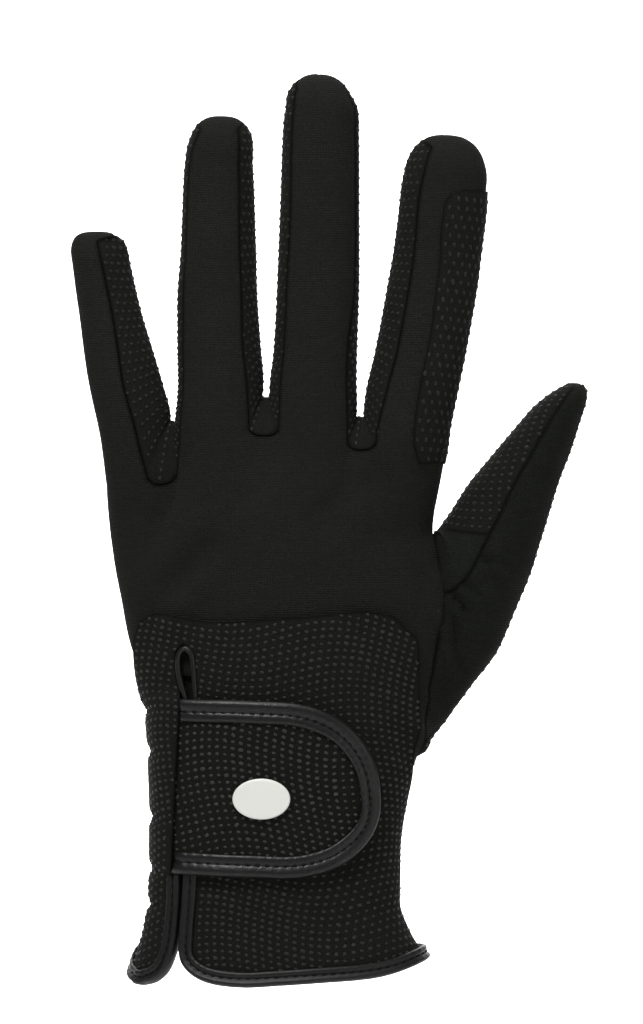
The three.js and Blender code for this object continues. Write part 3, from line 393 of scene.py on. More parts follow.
ROOT_ROW = len(FINGER_ROWS)
LEAD = 3
HOLE_ROW = ROOT_ROW + LEAD


def panel_height(row, i, palm):
    """Height of a row; rows between the part's own rows are taken in between."""
    column = COLUMNS[i]
    root = root_height(column, palm)
    if row <= ROOT_ROW:
        ladder = FINGER_ROWS + [0]
        low = min(int(row), ROOT_ROW - 1)
        step = row - low if low else (row - low) ** 2
        share = mix(ladder[low], ladder[low + 1], step)
        return mix(root, PALM_LENGTH + FINGERS[column[1]]["length"], share)
    top = HOLE[0][0] * PALM_LENGTH
    if row < HOLE_ROW:
        return mix(root, top, (row - ROOT_ROW) / LEAD)
    levels = [h[0] for h in HOLE] + PALM_ROWS
    low = min(int(row - HOLE_ROW), len(levels) - 2)
    return mix(levels[low], levels[low + 1], row - HOLE_ROW - low) * PALM_LENGTH


def on_panel(row, c):
    if row >= ROOT_ROW:
        return True
    a, b = COLUMNS[c], COLUMNS[c + 1]
    return a[0] == b[0] == "finger" and a[1] == b[1]


def stops(levels, step_counts):
    """Fine row numbers: each of the part's rows split into its own number of steps."""
    rows = []
    for start, count in zip(levels, step_counts):
        rows += [start + j / count for j in range(count)]
    return rows


def grid_of(rows, cols, make):
    return np.array([[tuple(make(r, c)) for c in cols] for r in rows])


def normals_of(grid, outward):
    """Unit normals of a grid; outward is a point that they turn away from, or a direction."""
    across = np.gradient(grid, axis=1)
    along = np.gradient(grid, axis=0)
    n = np.cross(across, along)
    size = np.linalg.norm(n, axis=2, keepdims=True)
    n = n / np.maximum(size, 1e-9)
    away = grid - outward
    sign = np.sign(np.sum(n * away))
    return n * (sign if sign else 1)


def swell(points):
    """Gentle unevenness of a filled glove, in mm, the same for pieces that meet."""
    x, y, z = points[..., 0], points[..., 1], points[..., 2]
    a = np.sin(x / 9.3 + 1.3 * np.sin(z / 17.1)) * np.sin(z / 13.7 + 0.8 * np.sin(x / 11.9 + y / 8))
    b = np.sin(x / 4.1 - z / 7.7 + 0.7) * np.sin(z / 5.3 + y / 6.1)
    return 0.16 * a + 0.06 * b


# The photo's scale, and the pixel that shows the middle of the cuff's lower edge
MM_PER_PIXEL = 0.26
PHOTO_MIDDLE, PHOTO_FOOT = 280, 982


def from_photo(px, py):
    return np.array([(px - PHOTO_MIDDLE) * MM_PER_PIXEL, (PHOTO_FOOT - py) * MM_PER_PIXEL])


FOLD_DEPTH = 2.7
# Folds seen on the back of the hand: photo points of both ends, width and height in mm
FOLDS = [
    ((446, 590), (474, 620), 1.1, -0.75),
    ((444, 600), (462, 650), 1.2, -0.6),
    ((458, 583), (482, 594), 0.9, -0.5),
    ((478, 540), (506, 606), 1.3, -0.45),
    ((450, 628), (464, 684), 1.3, -0.55),
    ((470, 560), (520, 566), 1.0, -0.3),
    ((440, 560), (437, 640), 1.6, 0.45),
    ((229, 520), (168, 606), 3.4, -0.5),
    ((214, 560), (160, 640), 2.8, 0.35),
    ((300, 540), (392, 470), 4.0, -0.3),
    ((408, 706), (432, 770), 2.2, 0.5),
    ((428, 680), (456, 712), 1.6, -0.45),
]


def folds(points):
    x, y, z = points[..., 0], points[..., 1], points[..., 2]
    total = np.zeros_like(x)
    facing = np.clip((6 - y) / 8, 0, 1)
    for a, b, width, height in FOLDS:
        p, q = from_photo(*a), from_photo(*b)
        way = q - p
        size = np.hypot(*way)
        along = ((x - p[0]) * way[0] + (z - p[1]) * way[1]) / size**2
        off = ((x - p[0]) * way[1] - (z - p[1]) * way[0]) / size
        ends = np.clip(along * 3.2, 0, 1) * np.clip((1 - along) * 3.2, 0, 1)
        ends = ends * ends * (3 - 2 * ends)
        crest = np.exp(-((off / width) ** 2))
        beside = np.exp(-(((off - 2.2 * width) / width) ** 2))
        total += height * ends * (crest - 0.4 * beside)
    return FOLD_DEPTH * total * facing


def soften(outer, inner, outward, extra=None, swelling=1.0):
    """Moves both faces of a sheet by the folds and the unevenness."""
    n = normals_of(outer, outward)
    move = swelling * swell(outer) + folds(outer)
    if extra is not None:
        move = move + extra
    step = n * move[..., None]
    return outer + step, inner + step, n


COLLECTION = bpy.context.scene.collection


def new_object(name, vertices, faces):
    mesh = bpy.data.meshes.new(name)
    mesh.from_pydata([tuple(v) for v in np.asarray(vertices, dtype=float) * 0.001], [], faces)
    mesh.validate()
    obj = bpy.data.objects.new(name, mesh)
    COLLECTION.objects.link(obj)
    mesh.polygons.foreach_set("use_smooth", [True] * len(mesh.polygons))
    return obj


def face_out(obj):
    """Turns the faces of a closed mesh outward by its volume."""
    bm = bmesh.new()
    bm.from_mesh(obj.data)
    if bm.calc_volume(signed=True) < 0:
        bmesh.ops.reverse_faces(bm, faces=bm.faces[:])
    bm.to_mesh(obj.data)
    bm.free()


class Sheet:
    """A cloth piece: two grids of points joined at the edges of the cells kept."""

    def __init__(self, name, outer, inner, keep=None, bevel=0.38, segments=2):
        self.name, self.outer, self.inner = name, outer, inner
        rows, cols = outer.shape[:2]
        mask = np.ones((rows - 1, cols - 1), dtype=bool)
        if keep is not None:
            for r in range(rows - 1):
                for c in range(cols - 1):
                    mask[r, c] = keep(r, c)
        self.mask = mask
        index, place, faces = {}, [], []

        def vertex(layer, r, c):
            key = (layer, r, c)
            if key not in index:
                index[key] = len(place)
                place.append((inner if layer else outer)[r, c])
            return index[key]

        def kept(r, c):
            return 0 <= r < rows - 1 and 0 <= c < cols - 1 and mask[r, c]

        self.edge_points = []
        for r in range(rows - 1):
            for c in range(cols - 1):
                if not mask[r, c]:
                    continue
                corners = ((r, c), (r + 1, c), (r + 1, c + 1), (r, c + 1))
                faces.append([vertex(0, *at) for at in corners])
                faces.append([vertex(1, *corners[n]) for n in (0, 3, 2, 1)])
                for nr, nc, ar, ac, br, bc in (
                    (r - 1, c, r, c, r, c + 1),
                    (r + 1, c, r + 1, c + 1, r + 1, c),
                    (r, c - 1, r + 1, c, r, c),
                    (r, c + 1, r, c + 1, r + 1, c + 1),
                ):
                    if kept(nr, nc):
                        continue
                    faces.append([vertex(0, ar, ac), vertex(0, br, bc), vertex(1, br, bc), vertex(1, ar, ac)])
                    a, b = outer[ar, ac], outer[br, bc]
                    self.edge_points += [a, (a + b) / 2]
        self.obj = new_object(name, place, faces)
        face_out(self.obj)
        tree = KDTree(len(self.edge_points))
        for i, p in enumerate(self.edge_points):
            tree.insert(Vector(p), i)
        tree.balance()
        self.tree = tree
        rim = self.obj.data.attributes.new("rim", "FLOAT", "POINT")
        rim.data.foreach_set("value", [min(20.0, tree.find(v.co * 1000)[2]) for v in self.obj.data.vertices])
        if bevel:
            edge = self.obj.modifiers.new("edge", "BEVEL")
            edge.width = bevel * 0.001
            edge.segments = segments
            edge.limit_method = "ANGLE"
            edge.angle_limit = 50 * DEG
            edge.use_clamp_overlap = True

    def to_rim(self, p):
        return self.tree.find(Vector(p))[2]


def lattice_points(sheet, normals, a, b, offset=0.0, margin=0.7, part=None):
    """Points of a lattice over a sheet: a and b are lattice numbers at the grid's corners."""
    found = []
    outer, mask = sheet.outer, sheet.mask
    rows, cols = mask.shape
    for r in range(rows):
        for c in range(cols):
            if not mask[r, c] or (part and not part(r, c)):
                continue
            for tri in (((r, c), (r + 1, c), (r + 1, c + 1)), ((r, c), (r + 1, c + 1), (r, c + 1))):
                la = [a[t] for t in tri]
                lb = [b[t] for t in tri]
                a0, a1 = min(la), max(la)
                b0, b1 = min(lb), max(lb)
                if a1 - a0 > 3 or b1 - b0 > 3:
                    continue
                for j in range(math.ceil(b0), math.floor(b1) + 1):
                    shift = offset * (j % 2)
                    for i in range(math.ceil(a0 - shift), math.floor(a1 - shift) + 1):
                        x, y = i + shift, j
                        den = (lb[1] - lb[2]) * (la[0] - la[2]) + (la[2] - la[1]) * (lb[0] - lb[2])
                        if abs(den) < 1e-9:
                            continue
                        w0 = ((lb[1] - lb[2]) * (x - la[2]) + (la[2] - la[1]) * (y - lb[2])) / den
                        w1 = ((lb[2] - lb[0]) * (x - la[2]) + (la[0] - la[2]) * (y - lb[2])) / den
                        w2 = 1 - w0 - w1
                        if w0 < 0 or w1 < 0 or w2 <= 0:
                            continue
                        w = (w0, w1, w2)
                        p = sum(wi * outer[t] for wi, t in zip(w, tri))
                        if sheet.to_rim(p) < margin:
                            continue
                        n = sum(wi * normals[t] for wi, t in zip(w, tri))
                        # direction in which the row of dots runs
                        g = _row_direction(outer, a, b, tri)
                        found.append((p, n / np.linalg.norm(n), g))
    return found


def _row_direction(outer, a, b, tri):
    p0, p1, p2 = (outer[t] for t in tri)
    a0, a1, a2 = (a[t] for t in tri)
    b0, b1, b2 = (b[t] for t in tri)
    m = np.array([[a1 - a0, b1 - b0], [a2 - a0, b2 - b0]])
    det = m[0, 0] * m[1, 1] - m[0, 1] * m[1, 0]
    if abs(det) < 1e-12:
        return p1 - p0
    # combination of the two sides along which a grows and b stays
    u = m[1, 1] / det
    v = -m[0, 1] / det
    return (p1 - p0) * u + (p2 - p0) * v


RANDOM = np.random.default_rng(7)


def dots_object(name, points, length, width, height, sides=8, jitter=0.12):
    """Raised grip dots: low rounded blobs, joined to one mesh."""
    place, faces = [], []
    for p, n, g in points:
        g = g - n * np.dot(g, n)
        size = np.linalg.norm(g)
        if size < 1e-9:
            continue
        g = g / size
        h = np.cross(n, g)
        k = 1 + jitter * RANDOM.standard_normal()
        k = min(1.3, max(0.72, k))
        start = len(place)
        spin = 0.25 * RANDOM.standard_normal()
        for share, lift in ((1.0, -0.12), (0.86, 0.6 * height), (0.5, height)):
            for s in range(sides):
                t = 2 * math.pi * s / sides
                u = math.copysign(abs(math.cos(t)) ** 0.75, math.cos(t)) * length / 2 * share * k
                v = math.copysign(abs(math.sin(t)) ** 0.75, math.sin(t)) * width / 2 * share * k
                uu = u * math.cos(spin) - v * math.sin(spin)
                vv = u * math.sin(spin) + v * math.cos(spin)
                place.append(p + g * uu + h * vv + n * lift)
        for ring in range(2):
            for s in range(sides):
                q = (s + 1) % sides
                i = start + ring * sides
                faces.append([i + s, i + q, i + sides + q, i + sides + s])
        faces.append([start + 2 * sides + s for s in range(sides)])
        faces.append([start + s for s in reversed(range(sides))])
    return new_object(name, place, faces)


# The two panels: back of the hand and palm
FINGER_STEPS = [9, 5, 5, 5, 6, 9, 9, 9, 9, 9]
ROOT_STEPS = [4] * LEAD
HOLE_STEPS = [3] * (len(HOLE) - 1)
HOLE_STEPS[-5:] = [4, 4, 6, 7, 7]
PALM_STEPS = [5] * len(PALM_ROWS)
ALL_STEPS = FINGER_STEPS + ROOT_STEPS + HOLE_STEPS + PALM_STEPS
ALL_ROWS = stops(range(len(ALL_STEPS)), ALL_STEPS) + [len(ALL_STEPS)]


def hem(turn, far=True):
    at = turn / DEG - (360 if far else 0)
    return lookup(LOWER_EDGE, 1, at) * PALM_LENGTH + CUFF_ROLL + 2 * GAP


HEM_ROW = len(ALL_STEPS) - 3


def panel_grids(palm, rows, wall):
    def place(r, c, inset):
        z = panel_height(r, c, palm)
        if palm and r > HEM_ROW:
            start = panel_height(HEM_ROW, c, palm)
            turn = -column_turn(c, z, palm)
            z = mix(start, hem(turn, False), (r - HEM_ROW) / 3)
        return hand_point(c, z, inset, palm)

    def make(inset):
        return grid_of(rows, range(len(COLUMNS)), lambda r, c: place(r, c, inset))

    return make(0), make(wall)


def outward_y(grid, sign):
    """Points of a sheet that faces mostly +Y or -Y, for the sign of its normals."""
    middle = grid.copy()
    middle[..., 1] = -sign * 60
    return middle


BACK_ROWS = [r for r in ALL_ROWS if r <= HOLE_ROW + len(HOLE)]
BACK_END_ROW = HOLE_ROW + 8


NOTCHES = [70.7, 60.1, 43.2, 29.9, 20.5]


def notch_steps(points):
    """Puckers along the left edge of the cuff, where a band inside gathers it."""
    x, z = points[..., 0], points[..., 2]
    edge = np.clip((-27 - x) / 5, 0, 1)
    dips = sum(np.exp(-(((z - at) / 1.5) ** 2)) for at in NOTCHES)
    reach = np.clip((z - 14) / 6, 0, 1) * np.clip((80 - z) / 8, 0, 1)
    return edge * reach * (0.2 - 1.0 * dips)


back_outer, back_inner = panel_grids(False, BACK_ROWS, KNIT_WALL)
back_outer, back_inner, _ = soften(back_outer, back_inner, outward_y(back_outer, -1))
back = Sheet(
    "back_knit", back_outer, back_inner,
    lambda r, c: on_panel(BACK_ROWS[r], c) and (BACK_ROWS[r] < BACK_END_ROW or c >= len(COLUMNS) - 1 - 16),
)

palm_outer, palm_inner = panel_grids(True, ALL_ROWS, DOTTED_WALL)
palm_outer, palm_inner, palm_normals = soften(palm_outer, palm_inner, outward_y(palm_outer, 1))
palm = Sheet("palm_suede", palm_outer, palm_inner, lambda r, c: on_panel(ALL_ROWS[r], c))


# Side strips of the fingers
STRIP_END = 0.8
STRIP_CELLS = 14


def strip_grids(k):
    start = (k + 1) * (FINE_FINGER + 1) - 1 + k * (FINE_CROTCH - 1)
    rows = [STRIP_END] + [r for r in ALL_ROWS if STRIP_END + 0.1 < r <= ROOT_ROW]
    path = [(r, start, -1) for r in rows]
    path += [(ROOT_ROW, start + j, 0) for j in range(1, FINE_CROTCH)]
    path += [(r, start + FINE_CROTCH, 1) for r in reversed(rows)]
    saddle = CROTCHES[k][2] * PALM_LENGTH
    middle_x = CROTCHES[k][3] * PALM_WIDTH

    def lines(inset):
        grid = []
        for r, i, side in path:
            front = hand_point(i, panel_height(r, i, False), inset, False)
            rear = hand_point(i, panel_height(r, i, True), inset, True)
            f = FINGERS[k + 1 if side > 0 else k]
            tip = PALM_LENGTH + f["length"]
            root = root_height(COLUMNS[i], False)
            height = panel_height(r, i, False)
            way = max(0.0, (height - root) / (tip - root))
            z = height + (saddle - root) * (1 - way) ** 3
            s = finger_section(k + 1 if side > 0 else k, z)
            spread = 1 - math.exp(-max(0, z - saddle) / 5)
            x = mix(middle_x, s[0] - side * s[1], spread)
            if side == 0:
                x = middle_x + (COLUMNS[i][2] - 0.5) * 1.2
            else:
                x = mix(x, s[0] - side * s[1], way) + side * 0.9 * (1 - spread)
            middle = Vector((x + side * inset * spread, s[5], z - inset * (1 - spread)))
            shift = min(1.0 * GAP, 0.42 * (front - rear).length)
            a = front + (middle - front).normalized() * shift
            b = rear + (middle - rear).normalized() * shift
            control = 2 * middle - (a + b) / 2
            row = []
            for w in range(STRIP_CELLS + 1):
                t = w / STRIP_CELLS
                row.append(tuple(a * (1 - t) ** 2 + control * 2 * t * (1 - t) + b * t * t))
            grid.append(row)
        return np.array(grid)

    return lines(0), lines(DOTTED_WALL)


STRIP_NAMES = ["little_ring", "ring_middle", "middle_index"]
GAP_LEAN = [-0.42 * 0.3, -0.05 * 0.3, 0.28 * 0.3]
strips, strip_normals = [], []
for k, name in enumerate(STRIP_NAMES):
    outer, inner = strip_grids(k)
    # the strip faces the gap between two fingers
    gap = np.array([CROTCHES[k][3] * PALM_WIDTH, 0, 0])
    centre = outer.copy()
    centre[..., 0] = 2 * outer[..., 0] - (gap[0] + (outer[..., 2] - PALM_LENGTH) * GAP_LEAN[k])
    centre[..., 2] -= 4
    n = normals_of(outer, centre)
    strips.append(Sheet("strip_" + name, outer, inner))
    strip_normals.append(n)


# The thumb's four pieces
RINGS = np.array([(i + 1, *row) for i, row in enumerate(THUMB)])
# The thumb's outer edge lies a little further out than in the part
RINGS[4:13, 3] += 0.009
LAST_RING = len(THUMB)


def thumb_core(ring, step, front, inset):
    lx, lz, rx, rz, deep, seam, bulge = (lookup(RINGS, c, ring) for c in range(1, 8))
    tip = smooth((ring - LAST_RING + 3) / 3)
    angle = math.pi * step / 10
    share = ((1 - math.cos(angle)) / 2) ** (math.log(seam) / math.log(0.5))
    l = Vector((lx * PALM_WIDTH, 0, lz * PALM_LENGTH))
    r = Vector((rx * PALM_WIDTH, 0, rz * PALM_LENGTH))
    chord = r - l
    normal = Vector((-chord.z, 0, chord.x)).normalized()
    cut = min(0.45, inset / chord.length)
    p = l + chord * mix(cut, 1 - cut, share)
    bow = bulge * PALM_WIDTH - (inset * 0.5 if bulge > 0 else 0)
    p += normal * max(0, bow) * math.sin(angle)
    d = max(GAP / 2, deep * THUMB_DEPTH - inset * (1 - tip))
    p.y = THUMB_MIDDLE * PALM_DEPTH - (1 if front else -1) * d * math.sin(angle)
    p.z -= inset * tip
    return p


def thumb_point(ring, at, inset):
    at = at % 20
    front = at <= 10
    step = at if front else 20 - at
    if ring >= 1:
        return thumb_core(ring, step, front, inset)
    low = min(9, int(step))
    z = mix(HOLE[low][0], HOLE[low + 1][0], step - low) * PALM_LENGTH
    ends = math.cos(math.pi * step / 10)
    z -= 3 * GAP * ends
    clear = GAP * (0.4 + 0.3 * ends * ends) / (PALM_DEPTH / 2)
    turn = min(math.pi - 0.002, hole_turn(z, not front) + clear)
    p0 = body_point(turn if front else -turn, z, inset)
    if ring <= 0:
        return p0
    p1 = thumb_core(1, step, front, inset)
    p2 = thumb_core(2, step, front, inset)
    m0, m1 = (p1 - p0), (p2 - p0) / 2
    t = ring
    h00, h10 = 2 * t**3 - 3 * t**2 + 1, t**3 - 2 * t**2 + t
    h01, h11 = 1 - h00, t**3 - t**2
    return p0 * h00 + m0 * h10 + p1 * h01 + m1 * h11


PER_STEP = 5
SEAM_STEP = 0.01
GUSSET_RING = 6
GUSSET_LAP = 0.02


def outer_seam(ring):
    """The thumb's second seam runs just inside its outer edge."""
    return 9.55 - 0.75 * smooth((ring - 2) / 5) - 0.3 * smooth((ring - 10) / 4)


def thumb_piece(name, start, end, first, last, wall):
    cells = round((end - start) * PER_STEP)
    ats = [start + c / PER_STEP for c in range(cells + 1)]
    ats[0] += SEAM_STEP
    ats[-1] -= SEAM_STEP

    def seam_at(ring, at):
        if end == 8:
            return 5 + (at - 5) * (outer_seam(ring) - 5) / 3
        if start == 8:
            return 15 + (at - 15) * (15 - outer_seam(ring)) / 7
        return at

    rings = stops(range(first, last), [5 if ring >= LAST_RING - 4 else 6 for ring in range(first, last)])
    rings.append(last)
    if first == GUSSET_RING:
        rings[0] -= GUSSET_LAP
    if last == GUSSET_RING:
        rings[-1] += GUSSET_LAP

    def make(inset):
        return grid_of(rings, ats, lambda r, c: thumb_point(r, seam_at(r, c), inset))

    outer, inner = make(0), make(wall)
    middle = grid_of(rings, range(0, 20, 2), lambda r, c: thumb_point(r, c, 0)).mean(axis=1)
    outer, inner, n = soften(outer, inner, middle[:, None, :], swelling=0.7)
    return Sheet(name, outer, inner), n


thumb_back, _ = thumb_piece("thumb_knit", 5, 8, 0, LAST_RING, KNIT_WALL)
thumb_palm, thumb_palm_normals = thumb_piece("thumb_suede", 8, 15, 0, LAST_RING, KNIT_WALL)
thumb_inner, thumb_inner_normals = thumb_piece("thumb_side", -5, 5, GUSSET_RING, LAST_RING, KNIT_WALL)
thumb_gusset, _ = thumb_piece("thumb_web", -5, 5, 0, GUSSET_RING, KNIT_WALL)


# Grip patch on the index finger
PATCH_CELLS = 26
PATCH_TOP, PATCH_FOOT = PATCH[0][0], PATCH[-1][0]


def patch_grid(lift):
    rows = [mix(PATCH_TOP, PATCH_FOOT, r / 66) for r in range(67)]
    grid = []
    for along in rows:
        length = FINGERS[3]["length"]
        z = PALM_LENGTH + along * length
        root = root_height(COLUMNS[-1], False)
        weight = smooth((root + MELT_ABOVE - z) / MELT_LENGTH)
        s, b = finger_section(3, z), body_section(z)
        left = lookup(PATCH, 1, along)
        corner = max(0.0, 1 - (PATCH_TOP - along) * length / 4.5)
        left += 0.17 * (1 - math.sqrt(max(0, 1 - corner * corner)))
        foot = max(0.0, 1 - (along - PATCH_FOOT) * length / 3.0)
        wrap = PATCH_WRAP * DEG * (1 - 0.1 * (1 - math.sqrt(max(0, 1 - foot * foot))))
        row = []
        for c in range(PATCH_CELLS + 1):
            turn = mix(turn_of(left), wrap, c / PATCH_CELLS)
            p = section_point(s, turn, -lift, z)
            if weight > 0:
                share = 1 if turn > math.pi else (p.x - b[0] + b[1]) / (2 * b[1])
                p = p.lerp(section_point(b, turn if turn > math.pi else turn_of(share), -lift, z), weight)
            row.append(tuple(p))
        grid.append(row)
    return np.array(grid)


patch_outer, patch_inner = patch_grid(0.5), patch_grid(0.03)
patch_centre = patch_outer.copy()
patch_centre[..., 0] = 40 + (patch_outer[..., 2] - PALM_LENGTH) * 0.1
patch_centre[..., 1] = 3
patch_outer, patch_inner, patch_normals = soften(patch_outer, patch_inner, patch_centre)
patch = Sheet("grip_patch", patch_outer, patch_inner, bevel=0.3)


# Cuff panel with the slit
YOKE_LIFT = GAP + SAG
CUFF_TOP = YOKE_LIFT + DOTTED_WALL
STRAP_BASE = CUFF_TOP + GAP + 0.4 * SAG
STRAP_TOP = STRAP_BASE + STRAP_WALL
SLIT_TOP = 87.5
SLIT_HALF = 2.1
# Slit as it lies on the cuff: up, left edge, right edge
SLIT = np.array([
    (0.668, -0.293, -0.290), (0.6, -0.316, -0.267), (0.57, -0.311, -0.264), (0.53, -0.302, -0.26),
    (0.5, -0.304, -0.275), (0.43, -0.311, -0.28), (0.33, -0.32, -0.284), (0.2, -0.33, -0.286),
    (0.17, -0.338, -0.286), (0.14, -0.343, -0.284), (0.09, -0.345, -0.28), (0.05, -0.352, -0.268),
    (0.03, -0.37, -0.25),
])


def share_turn(x, z, lift=0.0):
    s = body_section(z)
    half = s[1] + lift
    return turn_of((x - s[0] + half) / (2 * half))


def slit_edges(z, lift):
    up = z / PALM_LENGTH
    a, b = lookup(SLIT, 1, up) * PALM_WIDTH, lookup(SLIT, 2, up) * PALM_WIDTH
    middle, half = (a + b) / 2, (b - a) / 2
    if z > SLIT_TOP - SLIT_HALF:
        middle = (lookup(SLIT, 1, 0.6) + lookup(SLIT, 2, 0.6)) * PALM_WIDTH / 2
        half = max(0.15, math.sqrt(max(0, SLIT_HALF**2 - (z - SLIT_TOP + SLIT_HALF) ** 2)))
    return share_turn(middle - half, z, lift), share_turn(middle + half, z, lift)


def flap_rise(z):
    away = abs(z / PALM_LENGTH - STRAP_UP) / (STRAP_HEIGHT / 2 / PALM_LENGTH)
    return 1 - smooth((away - 0.92) / 0.2)


FLAP_CELLS, BRIDGE_CELLS, WRAP_CELLS = 26, 4, 78
FREE_ROW = len(YOKE) - 3
YOKE_STEPS = [4, 5, 6, 7, 8, 8, 7, 8, 8, 7, 7, 4, 4]
YOKE_ROWS = stops(range(len(YOKE_STEPS)), YOKE_STEPS) + [len(YOKE_STEPS)]


def core_of(grid):
    """Points in the middle of the cuff, level with those of the grid."""
    return np.array([0.0, 2.0, 0.0]) + grid * np.array([0.0, 0.0, 1.0])


def yoke_up(row):
    low = min(int(row), len(YOKE) - 2)
    return mix(YOKE[low][0], YOKE[low + 1][0], row - low)


def yoke_point(row, c, lift):
    up = yoke_up(row)
    z0 = up * PALM_LENGTH
    first, last = lookup(YOKE, 1, up) * DEG, lookup(YOKE, 4, up) * DEG
    top = STRAP_WALL + DOTTED_WALL + 2 * GAP
    left = slit_edges(z0, lift + flap_rise(z0) * top)[0]
    right = slit_edges(z0, lift)[1]
    step = 0.0
    if c <= FLAP_CELLS:
        step = c / FLAP_CELLS
        turn = mix(first, left, step)
    elif c < FLAP_CELLS + BRIDGE_CELLS:
        turn = mix(left, right, (c - FLAP_CELLS) / BRIDGE_CELLS)
    else:
        turn = mix(right, last, (c - FLAP_CELLS - BRIDGE_CELLS) / WRAP_CELLS)
    across = (turn - first) / (last - first)
    z = z0
    if row < 1:
        z += lookup(YOKE_TOP, 1, across) * PALM_LENGTH * (1 - row)
    if row > FREE_ROW:
        z = mix(YOKE[FREE_ROW][0] * PALM_LENGTH, hem(turn, c > FLAP_CELLS), (row - FREE_ROW) / 2)
    rise = smooth((step - FLAP_RISE) / (1 - FLAP_RISE)) * flap_rise(z)
    return body_point(turn, z, -lift - rise * top)


YOKE_COLS = range(FLAP_CELLS + BRIDGE_CELLS + WRAP_CELLS + 1)
yoke_outer = grid_of(YOKE_ROWS, YOKE_COLS, lambda r, c: yoke_point(r, c, CUFF_TOP))
yoke_inner = grid_of(YOKE_ROWS, YOKE_COLS, lambda r, c: yoke_point(r, c, YOKE_LIFT))
yoke_outer, yoke_inner, yoke_normals = soften(
    yoke_outer, yoke_inner, core_of(yoke_outer), notch_steps(yoke_outer)
)


def on_yoke(r, c):
    """The cells between the slit's edges are left out below its top."""
    above = yoke_up(YOKE_ROWS[r + 1]) * PALM_LENGTH > SLIT_TOP - 0.3
    return above or not FLAP_CELLS <= c < FLAP_CELLS + BRIDGE_CELLS


yoke = Sheet("cuff_suede", yoke_outer, yoke_inner, on_yoke, bevel=0.52, segments=3)


# The tongue under the slit: its four edges, and how deep its two faces lie
TONGUE_TOP, TONGUE_FOOT = 91, 26
TONGUE_LEFT, TONGUE_RIGHT = -31.5, -17
TONGUE_FACES = (1.15, 1.9)
TONGUE_CELLS = 24


def tongue_grid(deep):
    def make(r, c):
        z = mix(TONGUE_TOP, TONGUE_FOOT, r)
        return body_point(share_turn(mix(TONGUE_LEFT, TONGUE_RIGHT, c), z), z, deep)

    shares = [i / TONGUE_CELLS for i in range(TONGUE_CELLS + 1)]
    return grid_of(shares, shares, make)


tongue_outer, tongue_inner = (tongue_grid(deep) for deep in TONGUE_FACES)
tongue_normals = normals_of(tongue_outer, core_of(tongue_outer))
tongue = Sheet("slit_tongue", tongue_outer, tongue_inner)


# Paths on the skin and swept bindings
# A turn of one radian counts as this many mm when a path is smoothed
TURN_SCALE = 30


def curve_points(points, count):
    """Evenly spaced points of a centripetal Catmull-Rom curve."""
    pts = [np.array(p, dtype=float) for p in points]
    pts = [2 * pts[0] - pts[1]] + pts + [2 * pts[-1] - pts[-2]]
    dense = []
    for i in range(1, len(pts) - 2):
        p0, p1, p2, p3 = pts[i - 1 : i + 3]
        t0 = 0.0
        t1 = t0 + np.linalg.norm(p1 - p0) ** 0.5
        t2 = t1 + np.linalg.norm(p2 - p1) ** 0.5
        t3 = t2 + np.linalg.norm(p3 - p2) ** 0.5
        for j in range(24):
            t = mix(t1, t2, j / 24)
            a1 = (t1 - t) / (t1 - t0) * p0 + (t - t0) / (t1 - t0) * p1
            a2 = (t2 - t) / (t2 - t1) * p1 + (t - t1) / (t2 - t1) * p2
            a3 = (t3 - t) / (t3 - t2) * p2 + (t - t2) / (t3 - t2) * p3
            b1 = (t2 - t) / (t2 - t0) * a1 + (t - t0) / (t2 - t0) * a2
            b2 = (t3 - t) / (t3 - t1) * a2 + (t - t1) / (t3 - t1) * a3
            dense.append((t2 - t) / (t2 - t1) * b1 + (t - t1) / (t2 - t1) * b2)
    dense.append(pts[-2])
    dense = np.array(dense)
    lengths = np.concatenate([[0], np.cumsum(np.linalg.norm(np.diff(dense, axis=0), axis=1))])
    at = np.linspace(0, lengths[-1], count + 1)
    return np.transpose([np.interp(at, lengths, column) for column in dense.T])


def smooth_path(points, count):
    """A smooth path of turn and height through some of its points."""
    even = curve_points([(turn * TURN_SCALE, z) for turn, z in points], count)
    return [(turn / TURN_SCALE, z) for turn, z in even]


def skin_path(points, outside):
    """Frames along a path of turn and height: point, side, outward direction, length so far, course."""
    frames, so_far, last = [], 0.0, None
    for i, (turn, z) in enumerate(points):
        here = body_point(turn, z, 0)
        before = body_point(*points[max(0, i - 1)], 0)
        after = body_point(*points[min(len(points) - 1, i + 1)], 0)
        along = (after - before).normalized()
        du = body_point(turn + 0.01, z, 0) - here
        dv = body_point(turn, z + 0.1, 0) - here
        normal = dv.cross(du).normalized()
        if normal.dot(Vector((here.x, here.y, 0))) < 0:
            normal.negate()
        side = along.cross(normal).normalized() * outside
        if last is not None:
            so_far += (here - last).length
        last = here
        frames.append((here, side, normal, so_far, along))
    return frames


def binding_section(roll, height, flap, base, top):
    edge = top + 0.12
    w = BINDING_WALL
    return [
        (-roll * 0.5, base), (-roll * 0.85, base + 0.08 * height), (-roll, edge - 0.05),
        (-roll - flap, edge), (-roll - flap - 0.04, edge + 0.45 * w), (-roll - flap + 0.25, edge + 0.92 * w),
        (-roll - flap * 0.62, edge + 1.06 * w), (-roll - flap * 0.3, edge + 1.0 * w),
        (-roll - 0.32, edge + 0.72 * w), (-roll - 0.1, edge + 0.45 * w), (-roll + 0.18, edge + 0.78 * w),
        (-roll * 0.82, base + 0.88 * height), (-roll * 0.62, base + 0.98 * height),
        (-roll * 0.42, base + 1.0 * height), (-roll * 0.22, base + 0.93 * height),
        (-roll * 0.07, base + 0.77 * height), (0, base + 0.53 * height), (-roll * 0.05, base + 0.27 * height),
        (-roll * 0.22, base + 0.07 * height),
    ]


STITCH = 2.4
THREAD_LENGTH, THREAD_SIDES = 1.5, 6
THREAD_IN, THREAD_UP = 0.12, 0.62
